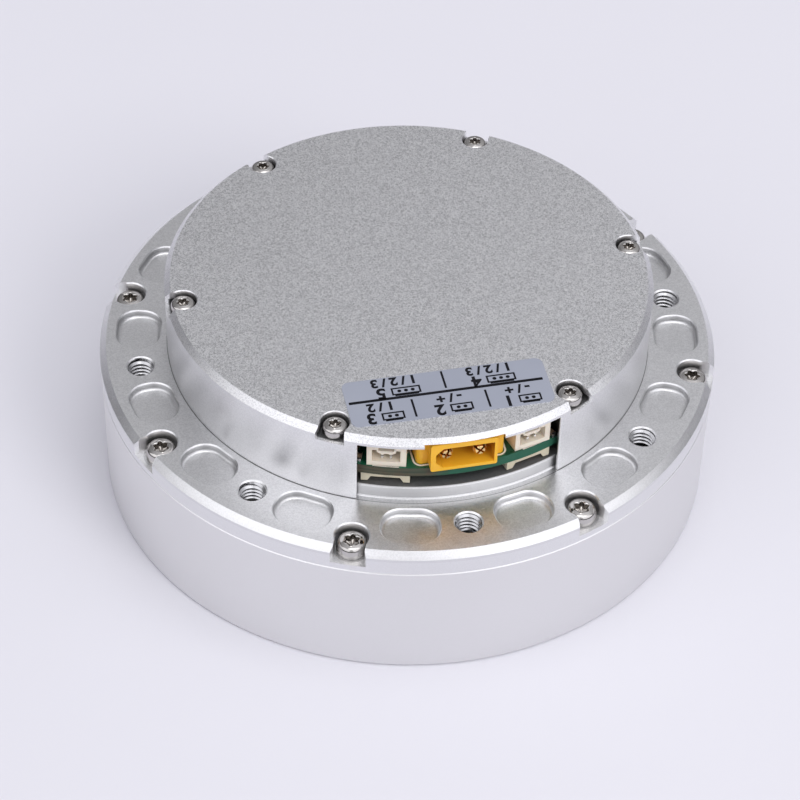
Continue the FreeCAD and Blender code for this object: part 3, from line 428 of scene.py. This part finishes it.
def moulded(name, base, rough=0.38, var=0.06, scale=900.0, strength=0.12, sss=0.0, coat=0.0, mottle=110.0, ior=1.5, painted_shade=None, painted_shade_col=None):
    """Moulded plastic, rubber or film: tiny orange peel, slight tone change and flow marks."""
    m, nt, bs = material(name)
    v = coords(nt)
    g = noise(nt, v, scale, 3.0, 0.6)
    b = noise(nt, v, mottle, 3.0, 0.6)
    tone = math_node(nt, "MULTIPLY", remap(nt, g, 0.3, 0.7, 1 - var * 0.35, 1 + var * 0.35), remap(nt, b, 0.3, 0.7, 1 - var, 1 + var))
    rgb = N(nt, "ShaderNodeCombineColor")
    for i in range(3):
        nt.links.new(math_node(nt, "MULTIPLY", tone, base[i]), rgb.inputs[i])
    col = rgb.outputs[0]
    # painted shade: a dark colour mixed in where the mask says
    if painted_shade:
        col = mix_col(nt, painted_shade(nt, v), col, painted_shade_col)
    nt.links.new(col, bs.inputs["Base Color"])
    nt.links.new(remap(nt, g, 0.3, 0.7, rough - 0.05, rough + 0.06), bs.inputs["Roughness"])
    bs.inputs["IOR"].default_value = ior
    if sss:
        bs.inputs["Subsurface Weight"].default_value = sss
        bs.inputs["Subsurface Radius"].default_value = (0.0012, 0.0007, 0.0004)
        bs.inputs["Subsurface Scale"].default_value = 0.5
    if coat:
        bs.inputs["Coat Weight"].default_value = coat
        bs.inputs["Coat Roughness"].default_value = 0.12
    bump(nt, bs, g, 0.000015, strength)
    return m


def board_material(name):
    """Green solder mask with copper tracks under it and a bare glass-fibre edge."""
    m, nt, bs = material(name)
    v = coords(nt)
    sep = N(nt, "ShaderNodeSeparateXYZ")
    nt.links.new(v, sep.inputs[0])
    # tracks: blocky cells stretched along two directions
    def tracks(sx, sy, sc, seed):
        mp = N(nt, "ShaderNodeMapping")
        mp.inputs["Scale"].default_value = (sx, sy, 0.0)
        mp.inputs["Location"].default_value = (seed, seed * 0.7, 0)
        nt.links.new(v, mp.inputs["Vector"])
        vo = N(nt, "ShaderNodeTexVoronoi", feature="F1", distance="CHEBYCHEV")
        vo.inputs["Scale"].default_value = sc
        vo.inputs["Randomness"].default_value = 0.9
        nt.links.new(mp.outputs[0], vo.inputs["Vector"])
        c = N(nt, "ShaderNodeSeparateColor")
        nt.links.new(vo.outputs["Color"], c.inputs[0])
        return remap(nt, c.outputs[0], 0.48, 0.5, 0.0, 1.0)
    t1 = tracks(1.0, 0.16, 900.0, 0.3)
    t2 = tracks(0.16, 1.0, 900.0, 1.7)
    pour = tracks(1.0, 1.0, 160.0, 4.1)
    cu = math_node(nt, "MAXIMUM", math_node(nt, "MULTIPLY", t1, t2), pour)
    g = noise(nt, v, 700.0, 3.0, 0.6)
    green = mix_col(nt, cu, (0.006, 0.066, 0.036), (0.014, 0.118, 0.062))
    green = mix_col(nt, remap(nt, g, 0.35, 0.65, 0.0, 0.25), green, (0.020, 0.15, 0.085))
    nrm = N(nt, "ShaderNodeTexCoord")
    sn = N(nt, "ShaderNodeSeparateXYZ")
    nt.links.new(nrm.outputs["Normal"], sn.inputs[0])
    side = remap(nt, math_node(nt, "ABSOLUTE", sn.outputs[2]), 0.3, 0.6, 1.0, 0.0)
    # the routed edge: layered glass fibre with the mask's rim at top and bottom
    mp = N(nt, "ShaderNodeMapping")
    mp.inputs["Scale"].default_value = (60.0, 60.0, 5200.0)
    nt.links.new(v, mp.inputs["Vector"])
    lay = noise(nt, mp.outputs[0], 1.0, 2.0, 0.7)
    patch = noise(nt, v, 190.0, 2.0, 0.6)
    fibre = mix_col(nt, remap(nt, lay, 0.35, 0.65, 0.0, 1.0), (0.040, 0.030, 0.022), (0.125, 0.082, 0.052))
    fibre = mix_col(nt, remap(nt, patch, 0.42, 0.6, 0.0, 0.35), fibre, (0.022, 0.100, 0.062))
    green_side = remap(nt, math_node(nt, "MULTIPLY_ADD", patch, 9.0, math_node(nt, "MULTIPLY", sep.outputs[0], 1000.0)), -1.0, 3.5, 0.0, 0.92)
    fibre = mix_col(nt, green_side, fibre, (0.012, 0.120, 0.070))
    col = mix_col(nt, side, green, fibre)
    nt.links.new(col, bs.inputs["Base Color"])
    nt.links.new(math_node(nt, "MULTIPLY_ADD", side, 0.34, remap(nt, g, 0.3, 0.7, 0.26, 0.38)), bs.inputs["Roughness"])
    bs.inputs["IOR"].default_value = 1.5
    hh = math_node(nt, "MULTIPLY_ADD", math_node(nt, "MULTIPLY", cu, math_node(nt, "SUBTRACT", 1.0, side)), 1.0, math_node(nt, "MULTIPLY", lay, side))
    bump(nt, bs, hh, 0.00003, 0.6)
    return m


def label_film(name):
    """Satin silver-blue polyester film."""
    m, nt, bs = material(name)
    v = coords(nt)
    g = noise(nt, v, 1500.0, 2.0, 0.5)
    b = noise(nt, v, 70.0, 3.0, 0.5)
    col = mix_col(nt, remap(nt, b, 0.3, 0.7, 0.0, 1.0), (0.38, 0.405, 0.485), (0.42, 0.445, 0.525))
    nt.links.new(col, bs.inputs["Base Color"])
    nt.links.new(remap(nt, g, 0.3, 0.7, 0.30, 0.40), bs.inputs["Roughness"])
    bs.inputs["Metallic"].default_value = 0.35
    bs.inputs["IOR"].default_value = 1.5
    bump(nt, bs, g, 0.000008, 0.2)
    return m


M = {
    "cover": blasted("cover_blasted", (0.815, 0.815, 0.825), rough=0.35, grain=0.36, grain_size=0.18, bumpiness=0.012, mottle=0.01, edge_highlight=0.14, shade=shade_cover, upright=1.03),
    "flange": blasted("flange_blasted", (0.815, 0.815, 0.82), rough=0.34, grain=0.10, grain_size=0.22, bumpiness=0.010, mottle=0.015, edge_highlight=0.16, shade=shade_flange, rough_more=rough_flange),
    "wall": blasted("wall_blasted", (0.81, 0.805, 0.805), rough=0.38, grain=0.05, grain_size=0.22, bumpiness=0.005, mottle=0.012, scuffs=0.30, edge_highlight=0.04, shade=shade_wall),
    "turned": turned("turned_aluminium", (0.80, 0.80, 0.81), rough=0.27, pitch=0.22),
    "inner": turned("inner_machined", (0.76, 0.76, 0.775), rough=0.30, pitch=0.30),
    "steel": turned("ground_steel", (0.60, 0.60, 0.61), rough=0.20, pitch=0.35, strength=0.12),
    "gear": plain_metal("gear_steel", (0.50, 0.50, 0.52), rough=0.30, scale=900.0),
    "screw": plain_metal("stainless_screw", (0.58, 0.56, 0.54), rough=0.07, var=0.06, scale=800.0, strength=0.08),
    "socket": plain_metal("socket_shadow", (0.34, 0.32, 0.30), rough=0.15, var=0.25, scale=900.0, strength=0.15),
    "ball": plain_metal("ball_steel", (0.78, 0.78, 0.80), rough=0.07, var=0.02, scale=300.0, strength=0.03),
    "bronze": plain_metal("sintered_bronze", (0.62, 0.42, 0.22), rough=0.42, var=0.12, scale=1500.0, strength=0.3),
    "lamination": turned("laminated_core", (0.30, 0.30, 0.33), rough=0.42, pitch=0.35, strength=0.5),
    "nickel": plain_metal("nickel_plate", (0.70, 0.69, 0.66), rough=0.18, var=0.05, scale=500.0),
    "copper": plain_metal("enamelled_copper", (0.72, 0.28, 0.12), rough=0.28, var=0.14, scale=1300.0, strength=0.45),
    "gold": plain_metal("gold_plate", (0.92, 0.66, 0.30), rough=0.20, var=0.05, scale=900.0),
    "tin": plain_metal("tin_plate", (0.70, 0.69, 0.67), rough=0.27, var=0.08, scale=900.0),
    "can": plain_metal("capacitor_can", (0.74, 0.74, 0.76), rough=0.27, var=0.04, scale=500.0),
    "board": board_material("solder_mask"),
    "chip": moulded("chip_epoxy", (0.020, 0.020, 0.022), rough=0.50, var=0.2, scale=2200.0, strength=0.4),
    "cage": moulded("bearing_cage", (0.06, 0.10, 0.22), rough=0.42, var=0.1),
    "rubber": moulded("seal_rubber", (0.018, 0.018, 0.018), rough=0.55, var=0.25, scale=1500.0, strength=0.4),
    "pad": moulded("thermal_pad", (0.22, 0.30, 0.42), rough=0.70, var=0.1, scale=1200.0, strength=0.5),
    # the dark second colour is painted shade inside the connector's mouth
    "yellow": moulded("connector_yellow", (0.98, 0.52, 0.030), rough=0.33, var=0.04, scale=1100.0, strength=0.15, sss=0.12, mottle=220.0, painted_shade=shade_mouth, painted_shade_col=(0.42, 0.085, 0.004)),
    # painted shade: the connectors under the board get a darker copy of the cream
    "cream_shaded": moulded("connector_cream_low", (0.66, 0.60, 0.45), rough=0.42, var=0.05, scale=1300.0, strength=0.15, sss=0.10, mottle=300.0),
    "cream": moulded("connector_cream", (0.92, 0.83, 0.70), rough=0.42, var=0.05, scale=1300.0, strength=0.15, sss=0.10, mottle=300.0),
    "ceramic": moulded("ceramic_part", (0.30, 0.21, 0.14), rough=0.45, var=0.12, scale=1800.0, strength=0.2),
    "film": label_film("label_film"),
    "ink": moulded("label_ink", (0.008, 0.008, 0.011), rough=0.60, var=0.2, scale=1500.0, strength=0.1, ior=1.22),
    "silk": moulded("board_legend", (0.86, 0.86, 0.82), rough=0.55, var=0.08, scale=1600.0, strength=0.2),
    # painted shade: the threads get a darker copy of the aluminium, standing in for the shade inside the tapped holes
    "thread": plain_metal("cut_thread", (0.57, 0.57, 0.58), rough=0.22, var=0.08, scale=900.0, strength=0.15),
}

NODE_MAT = {
    "front_housing": "wall", "rear_housing": "flange", "rear_cover": "cover", "flange_screws": "screw", "cover_screws": "screw", "port_label": "film",
    "bearing_retainer": "turned", "retainer_screws": "screw",
    "output_bearing_outer_race": "steel", "output_bearing_inner_race": "steel", "output_bearing_balls": "ball", "output_bearing_cage": "cage", "output_bearing_seals": "rubber",
    "rear_bearing_outer_race": "steel", "rear_bearing_inner_race": "steel", "rear_bearing_balls": "ball", "rear_bearing_cage": "cage",
    "pilot_bearing_outer_race": "steel", "pilot_bearing_inner_race": "steel", "pilot_bearing_balls": "ball", "pilot_bearing_cage": "cage",
    "ring_gear": "gear", "ring_gear_circlip": "steel", "planet_gear_1": "gear", "planet_gear_2": "gear", "planet_gear_3": "gear",
    "output_hub": "turned", "carrier_plate": "inner", "planet_pins": "steel", "planet_bushes": "bronze", "thrust_washers": "bronze", "carrier_screws": "screw",
    "output_circlip": "steel", "rotor_bell": "steel", "rotor_magnets": "nickel", "sun_gear_shaft": "gear", "rotor_screws": "screw", "encoder_magnet": "nickel",
    "stator_core": "lamination", "stator_windings": "copper", "terminal_ring": "board", "phase_leads": "copper",
    "driver_board": "board", "board_screws": "screw", "power_connector_shell": "yellow", "power_connector_pins": "gold",
    "can_connector_shell": "cream", "aux_power_connector_shell": "cream", "upper_connector_pins": "tin",
    "serial_connector_shell": "cream_shaded", "debug_connector_shell": "cream_shaded", "lower_connector_pins": "tin",
    "mosfets": "chip", "thermal_pad": "pad", "driver_chips": "chip", "encoder_sensor": "chip", "power_inductor": "chip",
    "capacitors": "can", "board_components": "chip",
}
for n, ob in NODES.items():
    mat = M[NODE_MAT[n]]
    if not ob.data.materials:
        ob.data.materials.append(mat)
    for s in ob.material_slots:
        s.material = mat


# ================================================================== camera, as in the picture
C = Vector((-68.73, -291.33, 293.10)) * MM
T = Vector((-0.884, 0.206, 9.269)) * MM
fwd = (T - C).normalized()
right = fwd.cross(Vector((0, 0, 1))).normalized()
up = right.cross(fwd).normalized()
roll = math.radians(1.51)
R_ = math.cos(roll) * right + math.sin(roll) * up
U_ = -math.sin(roll) * right + math.cos(roll) * up
cam_data = bpy.data.cameras.new("camera")
cam = bpy.data.objects.new("camera", cam_data)
bpy.context.scene.collection.objects.link(cam)
rot = Matrix((R_, U_, -fwd)).transposed().to_4x4()
cam.matrix_world = Matrix.Translation(C) @ rot
cam_data.sensor_fit = "HORIZONTAL"
cam_data.sensor_width = 36.0
cam_data.lens = 2570.728 / 800.0 * 36.0
cam_data.clip_start = 0.01
cam_data.clip_end = 20.0
cam_data.dof.use_dof = False
bpy.context.scene.camera = cam


# ================================================================== stage and light
def stage():
    m, nt, bs = material("stage_paper")
    v = coords(nt)
    g = noise(nt, v, 9.0, 3.0, 0.5)
    col = mix_col(nt, remap(nt, g, 0.3, 0.7, 0.0, 1.0), (0.728, 0.722, 0.776), (0.742, 0.736, 0.790))
    nt.links.new(col, bs.inputs["Base Color"])
    bs.inputs["Roughness"].default_value = 0.85
    bs.inputs["Specular IOR Level"].default_value = 0.15
    me = bpy.data.meshes.new("stage_floor")
    s = 3.0
    me.from_pydata([(-s, -s, 0), (s, -s, 0), (s, s, 0), (-s, s, 0)], [], [(0, 1, 2, 3)])
    ob = bpy.data.objects.new("stage_floor", me)
    me.materials.append(m)
    bpy.context.scene.collection.objects.link(ob)
    ob.location.z = -0.00002


def area(name, loc, size, power, target=(0, 0, 0.02), colour=(1, 1, 1), size_y=None):
    d = bpy.data.lights.new(name, "AREA")
    d.shape = "RECTANGLE"
    d.size, d.size_y = size, size_y or size
    d.energy = power
    d.color = colour
    ob = bpy.data.objects.new(name, d)
    bpy.context.scene.collection.objects.link(ob)
    ob.location = loc
    ob.rotation_euler = (Vector(target) - Vector(loc)).to_track_quat("-Z", "Y").to_euler()
    return ob


stage()
area("key_overhead", (0.10, -0.10, 1.70), 0.90, 4.6, colour=(1.0, 0.995, 1.0))
fill = area("fill_front", (0.36, -0.72, 0.62), 0.35, 2.6, colour=(1.0, 0.985, 0.96))
fill.visible_glossy = False

# studio surround: two tall softboxes left and right of the viewer, a bright ceiling, a grey back wall and dark edges low down
world = bpy.data.worlds.new("studio")
bpy.context.scene.world = world
world.use_nodes = True
wn = world.node_tree
wn.nodes.clear()
wo = wn.nodes.new("ShaderNodeOutputWorld")
bg = wn.nodes.new("ShaderNodeBackground")
wn.links.new(bg.outputs[0], wo.inputs[0])
tc = wn.nodes.new("ShaderNodeTexCoord")
sp = wn.nodes.new("ShaderNodeSeparateXYZ")
wn.links.new(tc.outputs["Generated"], sp.inputs[0])
wx, wy, wz = sp.outputs


def wmul(a, k):
    return math_node(wn, "MULTIPLY", a, k)


def step(a, lo, hi):
    n = N(wn, "ShaderNodeMapRange", interpolation_type="SMOOTHSTEP")
    n.inputs["From Min"].default_value = lo
    n.inputs["From Max"].default_value = hi
    wn.links.new(a, n.inputs["Value"])
    return n.outputs["Result"]


flat = math_node(wn, "MAXIMUM", math_node(wn, "SQRT", math_node(wn, "ADD", math_node(wn, "MULTIPLY", wx, wx), math_node(wn, "MULTIPLY", wy, wy))), 0.001)
facing = math_node(wn, "DIVIDE", math_node(wn, "ADD", wmul(wx, -0.227), wmul(wy, -0.974)), flat)      # 1 towards the viewer, -1 behind the object
side = math_node(wn, "DIVIDE", math_node(wn, "ADD", wmul(wx, 0.974), wmul(wy, -0.227)), flat)         # 1 to the right
ramp = wn.nodes.new("ShaderNodeValToRGB")
wn.links.new(wz, ramp.inputs[0])
RAMP = ((0.0, 0.05), (0.10, 0.07), (0.30, 0.30), (0.52, 0.42), (0.76, 0.50), (0.90, 0.95), (1.0, 1.05))
cr = ramp.color_ramp
while len(cr.elements) < len(RAMP):
    cr.elements.new(0.5)
for e, (pos, val) in zip(cr.elements, RAMP):
    e.position = pos
    e.color = (val, val, val, 1)
base = math_node(wn, "MULTIPLY", ramp.outputs[0], math_node(wn, "MULTIPLY_ADD", math_node(wn, "MINIMUM", side, 0.35), 0.20, 1.0))
back_left = math_node(wn, "MULTIPLY", math_node(wn, "SUBTRACT", 1.0, step(side, -0.45, 0.12)), math_node(wn, "SUBTRACT", 1.0, step(facing, -0.05, 0.25)))
base = math_node(wn, "MULTIPLY", base, math_node(wn, "MULTIPLY_ADD", back_left, -0.30, 1.0))
box_a = step(math_node(wn, "MULTIPLY_ADD", side, -0.03, facing), -0.12, 0.02)
box_e = math_node(wn, "MULTIPLY", step(wz, 0.26, 0.42), math_node(wn, "SUBTRACT", 1.0, step(wz, 0.86, 0.95)))
gap = math_node(wn, "MULTIPLY", math_node(wn, "SUBTRACT", 1.0, step(math_node(wn, "ABSOLUTE", side), 0.15, 0.33)), step(facing, 0.0, 0.2))
boxes = math_node(wn, "MULTIPLY", math_node(wn, "MULTIPLY", box_a, box_e), math_node(wn, "MULTIPLY_ADD", gap, -0.85, 1.0))
level = math_node(wn, "ADD", base, wmul(boxes, 0.86))
tint = N(wn, "ShaderNodeCombineColor")
for i, k in enumerate((0.985, 0.985, 1.03)):
    wn.links.new(wmul(level, k), tint.inputs[i])
wn.links.new(tint.outputs[0], bg.inputs["Color"])
bg.inputs["Strength"].default_value = 1.0
bpy.context.scene.view_settings.view_transform = "Standard"
bpy.context.scene.view_settings.look = "None"


# ================================================================== threads
def thread(b, x, y, z0, z1, r_major, pitch, depth, start, seg=56, lead=0.35):
    """Internal thread: a helical ridge standing in from the hole's wall."""
    turns = (z1 - z0) / pitch
    n = int(turns * seg)
    prof = [(0.0, -0.46), (1.0, -0.09), (1.0, 0.09), (0.0, 0.46)]     # (share of depth, share of pitch)
    rows = []
    for i in range(n + 1):
        a = math.radians(start) + 2 * math.pi * i / seg
        z = z0 + (z1 - z0) * i / n
        fade = min(1.0, i / (seg * 0.25), (n - i) / (seg * lead))
        fade = max(fade, 0.02)
        rows.append([(x + (r_major + 0.01 - depth * s * fade) * math.cos(a), y + (r_major + 0.01 - depth * s * fade) * math.sin(a), z + h * pitch) for s, h in prof])
    o = len(b.v)
    for r in rows:
        b.v += r
    for i in range(n):
        for j in range(3):
            p = o + i * 4 + j
            b.f.append((p, p + 1, p + 5, p + 4))
            b.m.append(0)
        p = o + i * 4
        b.f.append((p + 3, p, p + 4, p + 7))
        b.m.append(0)
    b.f.append((o, o + 1, o + 2, o + 3))
    b.m.append(0)
    q = o + n * 4
    b.f.append((q + 3, q + 2, q + 1, q))
    b.m.append(0)


b = Builder()
for k in range(8):
    x, y = at(-90 + 45 * k, R_MOUNT)
    thread(b, x, y, Z_SEAM + 0.36, Z_FLANGE - 0.42, R_M4 - 0.012, 0.7, 0.37, 40 * k + 10)
b.build("flange_threads", M["thread"], "housing", "housing_aluminium", sharp=30)
b = Builder()
for k in range(6):
    x, y = at(60 * k, 19.0)
    thread(b, x, y, 0.85, 6.0, 1.488, 0.5, 0.26, 55 * k)
b.build("output_threads", M["thread"], "output", "inner_aluminium", sharp=30)


# ================================================================== screws
def screw(b, x, y, z_seat, r_head, h_head, r_torx, r_shank, length, turn, seg=96):
    """Pan head with a rounded crown, a six-lobe socket with a rolled rim, and a shank."""
    def loop(r, z, lobes=0.0):
        out = []
        for j in range(seg):
            a = 2 * math.pi * j / seg
            rr = r * (1.0 + lobes * math.cos(6 * a)) if lobes else r
            aa = a + math.radians(turn)
            out.append((x + rr * math.cos(aa), y + rr * math.sin(aa), z_seat + z))
        return out
    cyl_h = h_head * 0.56
    rows, mats = [], []

    def row(r, z, lobes=0.0, mat=0):
        rows.append(loop(r, z, lobes))
        mats.append(mat)
    row(r_shank * 0.75, -length)
    row(r_shank, -length + 0.3)
    row(r_shank, -0.02)
    row(r_head - 0.06, 0.0)
    row(r_head, 0.07)
    row(r_head, cyl_h - 0.03)
    # crown: part of an ellipse from the rim up to the socket's lip
    r_lip = r_torx * 1.17
    z_top = h_head - 0.06
    steps = 9
    for i in range(steps + 1):
        t = i / steps
        a = t * math.pi / 2 * 0.985
        r = r_lip + (r_head - 0.015 - r_lip) * math.cos(a) ** 0.85
        z = cyl_h + (z_top - cyl_h) * math.sin(a) ** 0.95
        row(r, z)
    row(r_torx * 1.10, z_top + 0.035, 0.02)
    row(r_torx * 1.03, z_top + 0.045, 0.06)
    row(r_torx * 0.95, z_top + 0.02, 0.11)
    row(r_torx * 0.87, z_top - 0.08, 0.15, 1)
    row(r_torx * 0.85, z_top - 0.16, 0.16, 1)
    row(r_torx * 0.84, h_head * 0.45, 0.165, 1)
    row(r_torx * 0.80, h_head * 0.42, 0.15, 1)
    row(r_torx * 0.02, h_head * 0.33, 0.0, 1)
    b.rings(rows, close_start=True, close_end=True, mats=mats)


turns = [12, 40, 25, 3, 51, 18, 33, 8]
b = Builder()
for k in range(8):
    x, y = at(-67.5 + 45 * k, R_FSCREW)
    screw(b, x, y, Z_FSEAT, 2.27, 2.0, 1.2, 1.2, 10.0, turns[k])
ob = b.build("flange_screws_detail", [M["screw"], M["socket"]], "housing", "stainless_screw", sharp=38)
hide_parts("flange_screws")
b = Builder()
for k in range(6):
    x, y = at(-120 + 60 * k, R_CSCREW)
    screw(b, x, y, Z_CSEAT, 1.84, 1.5, 0.95, 0.95, 10.0, turns[-k])
ob = b.build("cover_screws_detail", [M["screw"], M["socket"]], "housing", "stainless_screw", sharp=38)
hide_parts("cover_screws")


# ================================================================== label print
LX0, LX1, LY0, LY1 = -15.25, 14.95, -32.15, -22.75
LZ = Z_TOP + 0.1


def label_place(u, v):
    """u, v in mm on the label as it is read, from its upper left corner; it is read from the far side."""
    return LX1 - u, LY0 + v


def flat_text(body, size, u, v, bold=0.0, squeeze=1.0, centre=False, spacing=1.0):
    """Plain numerals and signs printed on the film; u, v is the start of the baseline in label coordinates."""
    cu = bpy.data.curves.new("print", "FONT")
    cu.body = body
    cu.size = size * MM
    cu.extrude = 0.007 * MM
    cu.offset = bold * MM
    cu.space_character = spacing
    cu.resolution_u = 8
    if centre:
        cu.align_x = "CENTER"
    tmp = bpy.data.objects.new("print_tmp", cu)
    bpy.context.scene.collection.objects.link(tmp)
    bpy.context.view_layer.update()
    me = bpy.data.meshes.new_from_object(tmp.evaluated_get(bpy.context.evaluated_depsgraph_get()))
    bpy.data.objects.remove(tmp)
    x, y = label_place(u, v)
    me.transform(Matrix.Translation((x * MM, y * MM, (LZ + 0.009) * MM)) @ Matrix.Rotation(math.pi, 4, "Z") @ Matrix.Diagonal((squeeze, 1, 1, 1)))
    return me


b = Builder()
ZP = (LZ + 0.002, LZ + 0.016)


def bar(u0, v0, u1, v1):
    x0, y0 = label_place(u0, v0)
    x1, y1 = label_place(u1, v1)
    b.box(min(x0, x1), max(x0, x1), min(y0, y1), max(y0, y1), *ZP)


def frame_box(u0, v0, u1, v1, t):
    bar(u0, v0, u1, v0 + t)
    bar(u0, v1 - t, u1, v1)
    bar(u0, v0 + t, u0 + t, v1 - t)
    bar(u1 - t, v0 + t, u1, v1 - t)


def dot(u, v, r):
    x, y = label_place(u, v)
    b.prism([(x + r * math.cos(2 * math.pi * j / 20), y + r * math.sin(2 * math.pi * j / 20)) for j in range(20)], *ZP)


W_, H_ = LX1 - LX0, LY1 - LY0
bar(0.85, 4.66, 29.80, 5.18)
bar(9.58, 0.50, 9.90, 4.15)
bar(20.54, 0.50, 20.86, 4.20)
bar(15.04, 5.60, 15.36, 9.20)
texts = []


def port_print(u0, u1, v, number, pins, signs):
    """One port's cell: a plug outline with its pins, the port's number, and the pin signs below."""
    mid = (u0 + u1) / 2
    w = 1.35 + 1.0 * pins
    left = mid - (w + 2.9) / 2
    frame_box(left, v + 0.45, left + w, v + 1.98, 0.27)
    bar(left + 0.4, v + 0.22, left + w - 0.4, v + 0.52)
    for j in range(pins):
        dot(left + w / 2 + (j - (pins - 1) / 2) * 1.0, v + 1.22, 0.30)
    texts.append(flat_text(number, 3.0, left + w + 0.8, v + 2.10, bold=0.10))
    texts.append(flat_text(signs, 2.35, mid, v + 4.12, bold=0.09, centre=True, spacing=1.45))


port_print(0.6, 9.5, 0.12, "1", 2, "-/+")
port_print(10.1, 20.4, 0.12, "2", 2, "-/+")
port_print(21.0, 29.8, 0.12, "3", 2, "1/2")
port_print(1.6, 14.9, 5.02, "4", 3, "1/2/3")
port_print(15.6, 29.4, 5.02, "5", 3, "1/2/3")
b.build("label_rules", M["ink"], "housing", "label_film", smooth=False)
bmt = bmesh.new()
for me in texts:
    bmt.from_mesh(me)
me = bpy.data.meshes.new("label_numerals")
bmt.to_mesh(me)
bmt.free()
me.materials.append(M["ink"])
ob = bpy.data.objects.new("label_numerals", me)
bpy.context.scene.collection.objects.link(ob)
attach(ob, "housing")


# ================================================================== board details
def ribbon(b, pts, width, z0, z1, closed=False):
    """A flat line of even width through the points."""
    n = len(pts)
    L, Rr = [], []
    for i, (x, y) in enumerate(pts):
        if closed:
            p, q = pts[i - 1], pts[(i + 1) % n]
        else:
            p, q = pts[max(0, i - 1)], pts[min(n - 1, i + 1)]
        dx, dy = q[0] - p[0], q[1] - p[1]
        l = math.hypot(dx, dy) or 1.0
        nx, ny = -dy / l * width / 2, dx / l * width / 2
        L.append((x + nx, y + ny))
        Rr.append((x - nx, y - ny))
    rows = [[(Rr[i][0], Rr[i][1], z0), (L[i][0], L[i][1], z0), (L[i][0], L[i][1], z1), (Rr[i][0], Rr[i][1], z1)] for i in range(n)]
    if closed:
        rows.append(rows[0])
    b.rings(rows, close_start=not closed, close_end=not closed)


def rounded(x0, x1, y0, y1, r, seg=8):
    pts = []
    for cx, cy, a0 in ((x1 - r, y1 - r, 0), (x0 + r, y1 - r, 90), (x0 + r, y0 + r, 180), (x1 - r, y0 + r, 270)):
        for i in range(seg + 1):
            a = math.radians(a0 + 90 * i / seg)
            pts.append((cx + r * math.cos(a), cy + r * math.sin(a)))
    return pts


ZB = Z_PCB1
b = Builder()
ribbon(b, rounded(CX - 6.90, CX + 6.80, -34.95, -25.7, 1.1), 0.28, ZB + 0.001, ZB + 0.03, closed=True)


def local(turn, x, y):
    c_, s_ = math.cos(math.radians(turn)), math.sin(math.radians(turn))
    return lambda p: (x + p[0] * c_ - p[1] * s_, y + p[0] * s_ + p[1] * c_)


HEAD = ((-15.7, -10.64, -34.03), (14.6, 11.2, -33.97))
b.build("board_legend", M["silk"], "housing", "board_green", smooth=False)

# bright bare strips along the board's rim, solder fillets and tails of the headers, and small ceramic parts with tinned ends
b = Builder()
for a0, a1 in ((-110.6, -104.4), (-74.4, -67.2)):
    ribbon(b, [at(a0 + (a1 - a0) * i / 12, 35.84) for i in range(13)], 0.24, ZB + 0.001, ZB + 0.035)
for turn, x, y in HEAD:
    f_ = local(turn, x, y)
    for sx in (-0.625, 0.625):
        c_ = f_((sx, 5.75))
        rows = []
        for r, z in ((0.55, 0.0), (0.42, 0.12), (0.27, 0.30), (0.21, 0.55), (0.0, 0.60)):
            rows.append([(c_[0] + max(r, 0.004) * math.cos(2 * math.pi * j / 20), c_[1] + max(r, 0.004) * math.sin(2 * math.pi * j / 20), ZB + z) for j in range(20)])
        b.rings(rows, close_start=True, close_end=True)


def chip_part(b, x, y, turn, l, w, h, z=ZB):
    """Ceramic block with tinned ends: material 0 is tin, 1 the body."""
    c_, s_ = math.cos(math.radians(turn)), math.sin(math.radians(turn))
    place = lambda p: (x + p[0] * c_ - p[1] * s_, y + p[0] * s_ + p[1] * c_, z + p[2])
    e = l * 0.22
    ch = 0.05
    for u0, u1, grow, mat in ((-l / 2, -l / 2 + e, 0.03, 0), (l / 2 - e, l / 2, 0.03, 0), (-l / 2 + e - 0.02, l / 2 - e + 0.02, 0.0, 1)):
        ww, hh = w / 2 + grow, h + grow
        sec = [(-ww + ch, 0.0), (ww - ch, 0.0), (ww, ch), (ww, hh - ch), (ww - ch, hh), (-ww + ch, hh), (-ww, hh - ch), (-ww, ch)]
        b.rings([[place((u, p, q)) for p, q in sec] for u in (u0, u1)], mat=mat, close_start=True, close_end=True)


for x, y, t, l, w, h in ((-14.25, -31.9, 68, 1.5, 0.75, 0.70), (14.55, -32.2, -68, 1.5, 0.75, 0.70), (-14.0, -29.9, 72, 1.0, 0.5, 0.45), (14.9, -30.4, 96, 1.0, 0.5, 0.45),
                         (-7.1, -31.6, 90, 1.0, 0.5, 0.4), (7.9, -31.2, 90, 1.0, 0.5, 0.4), (-7.3, -29.4, 90, 1.0, 0.5, 0.4), (8.0, -28.9, 90, 1.0, 0.5, 0.4)):
    chip_part(b, x, y, t, l, w, h)
b.build("board_small_parts", [M["tin"], M["ceramic"]], "housing", "tin_contact", sharp=30)

bpy.context.view_layer.update()
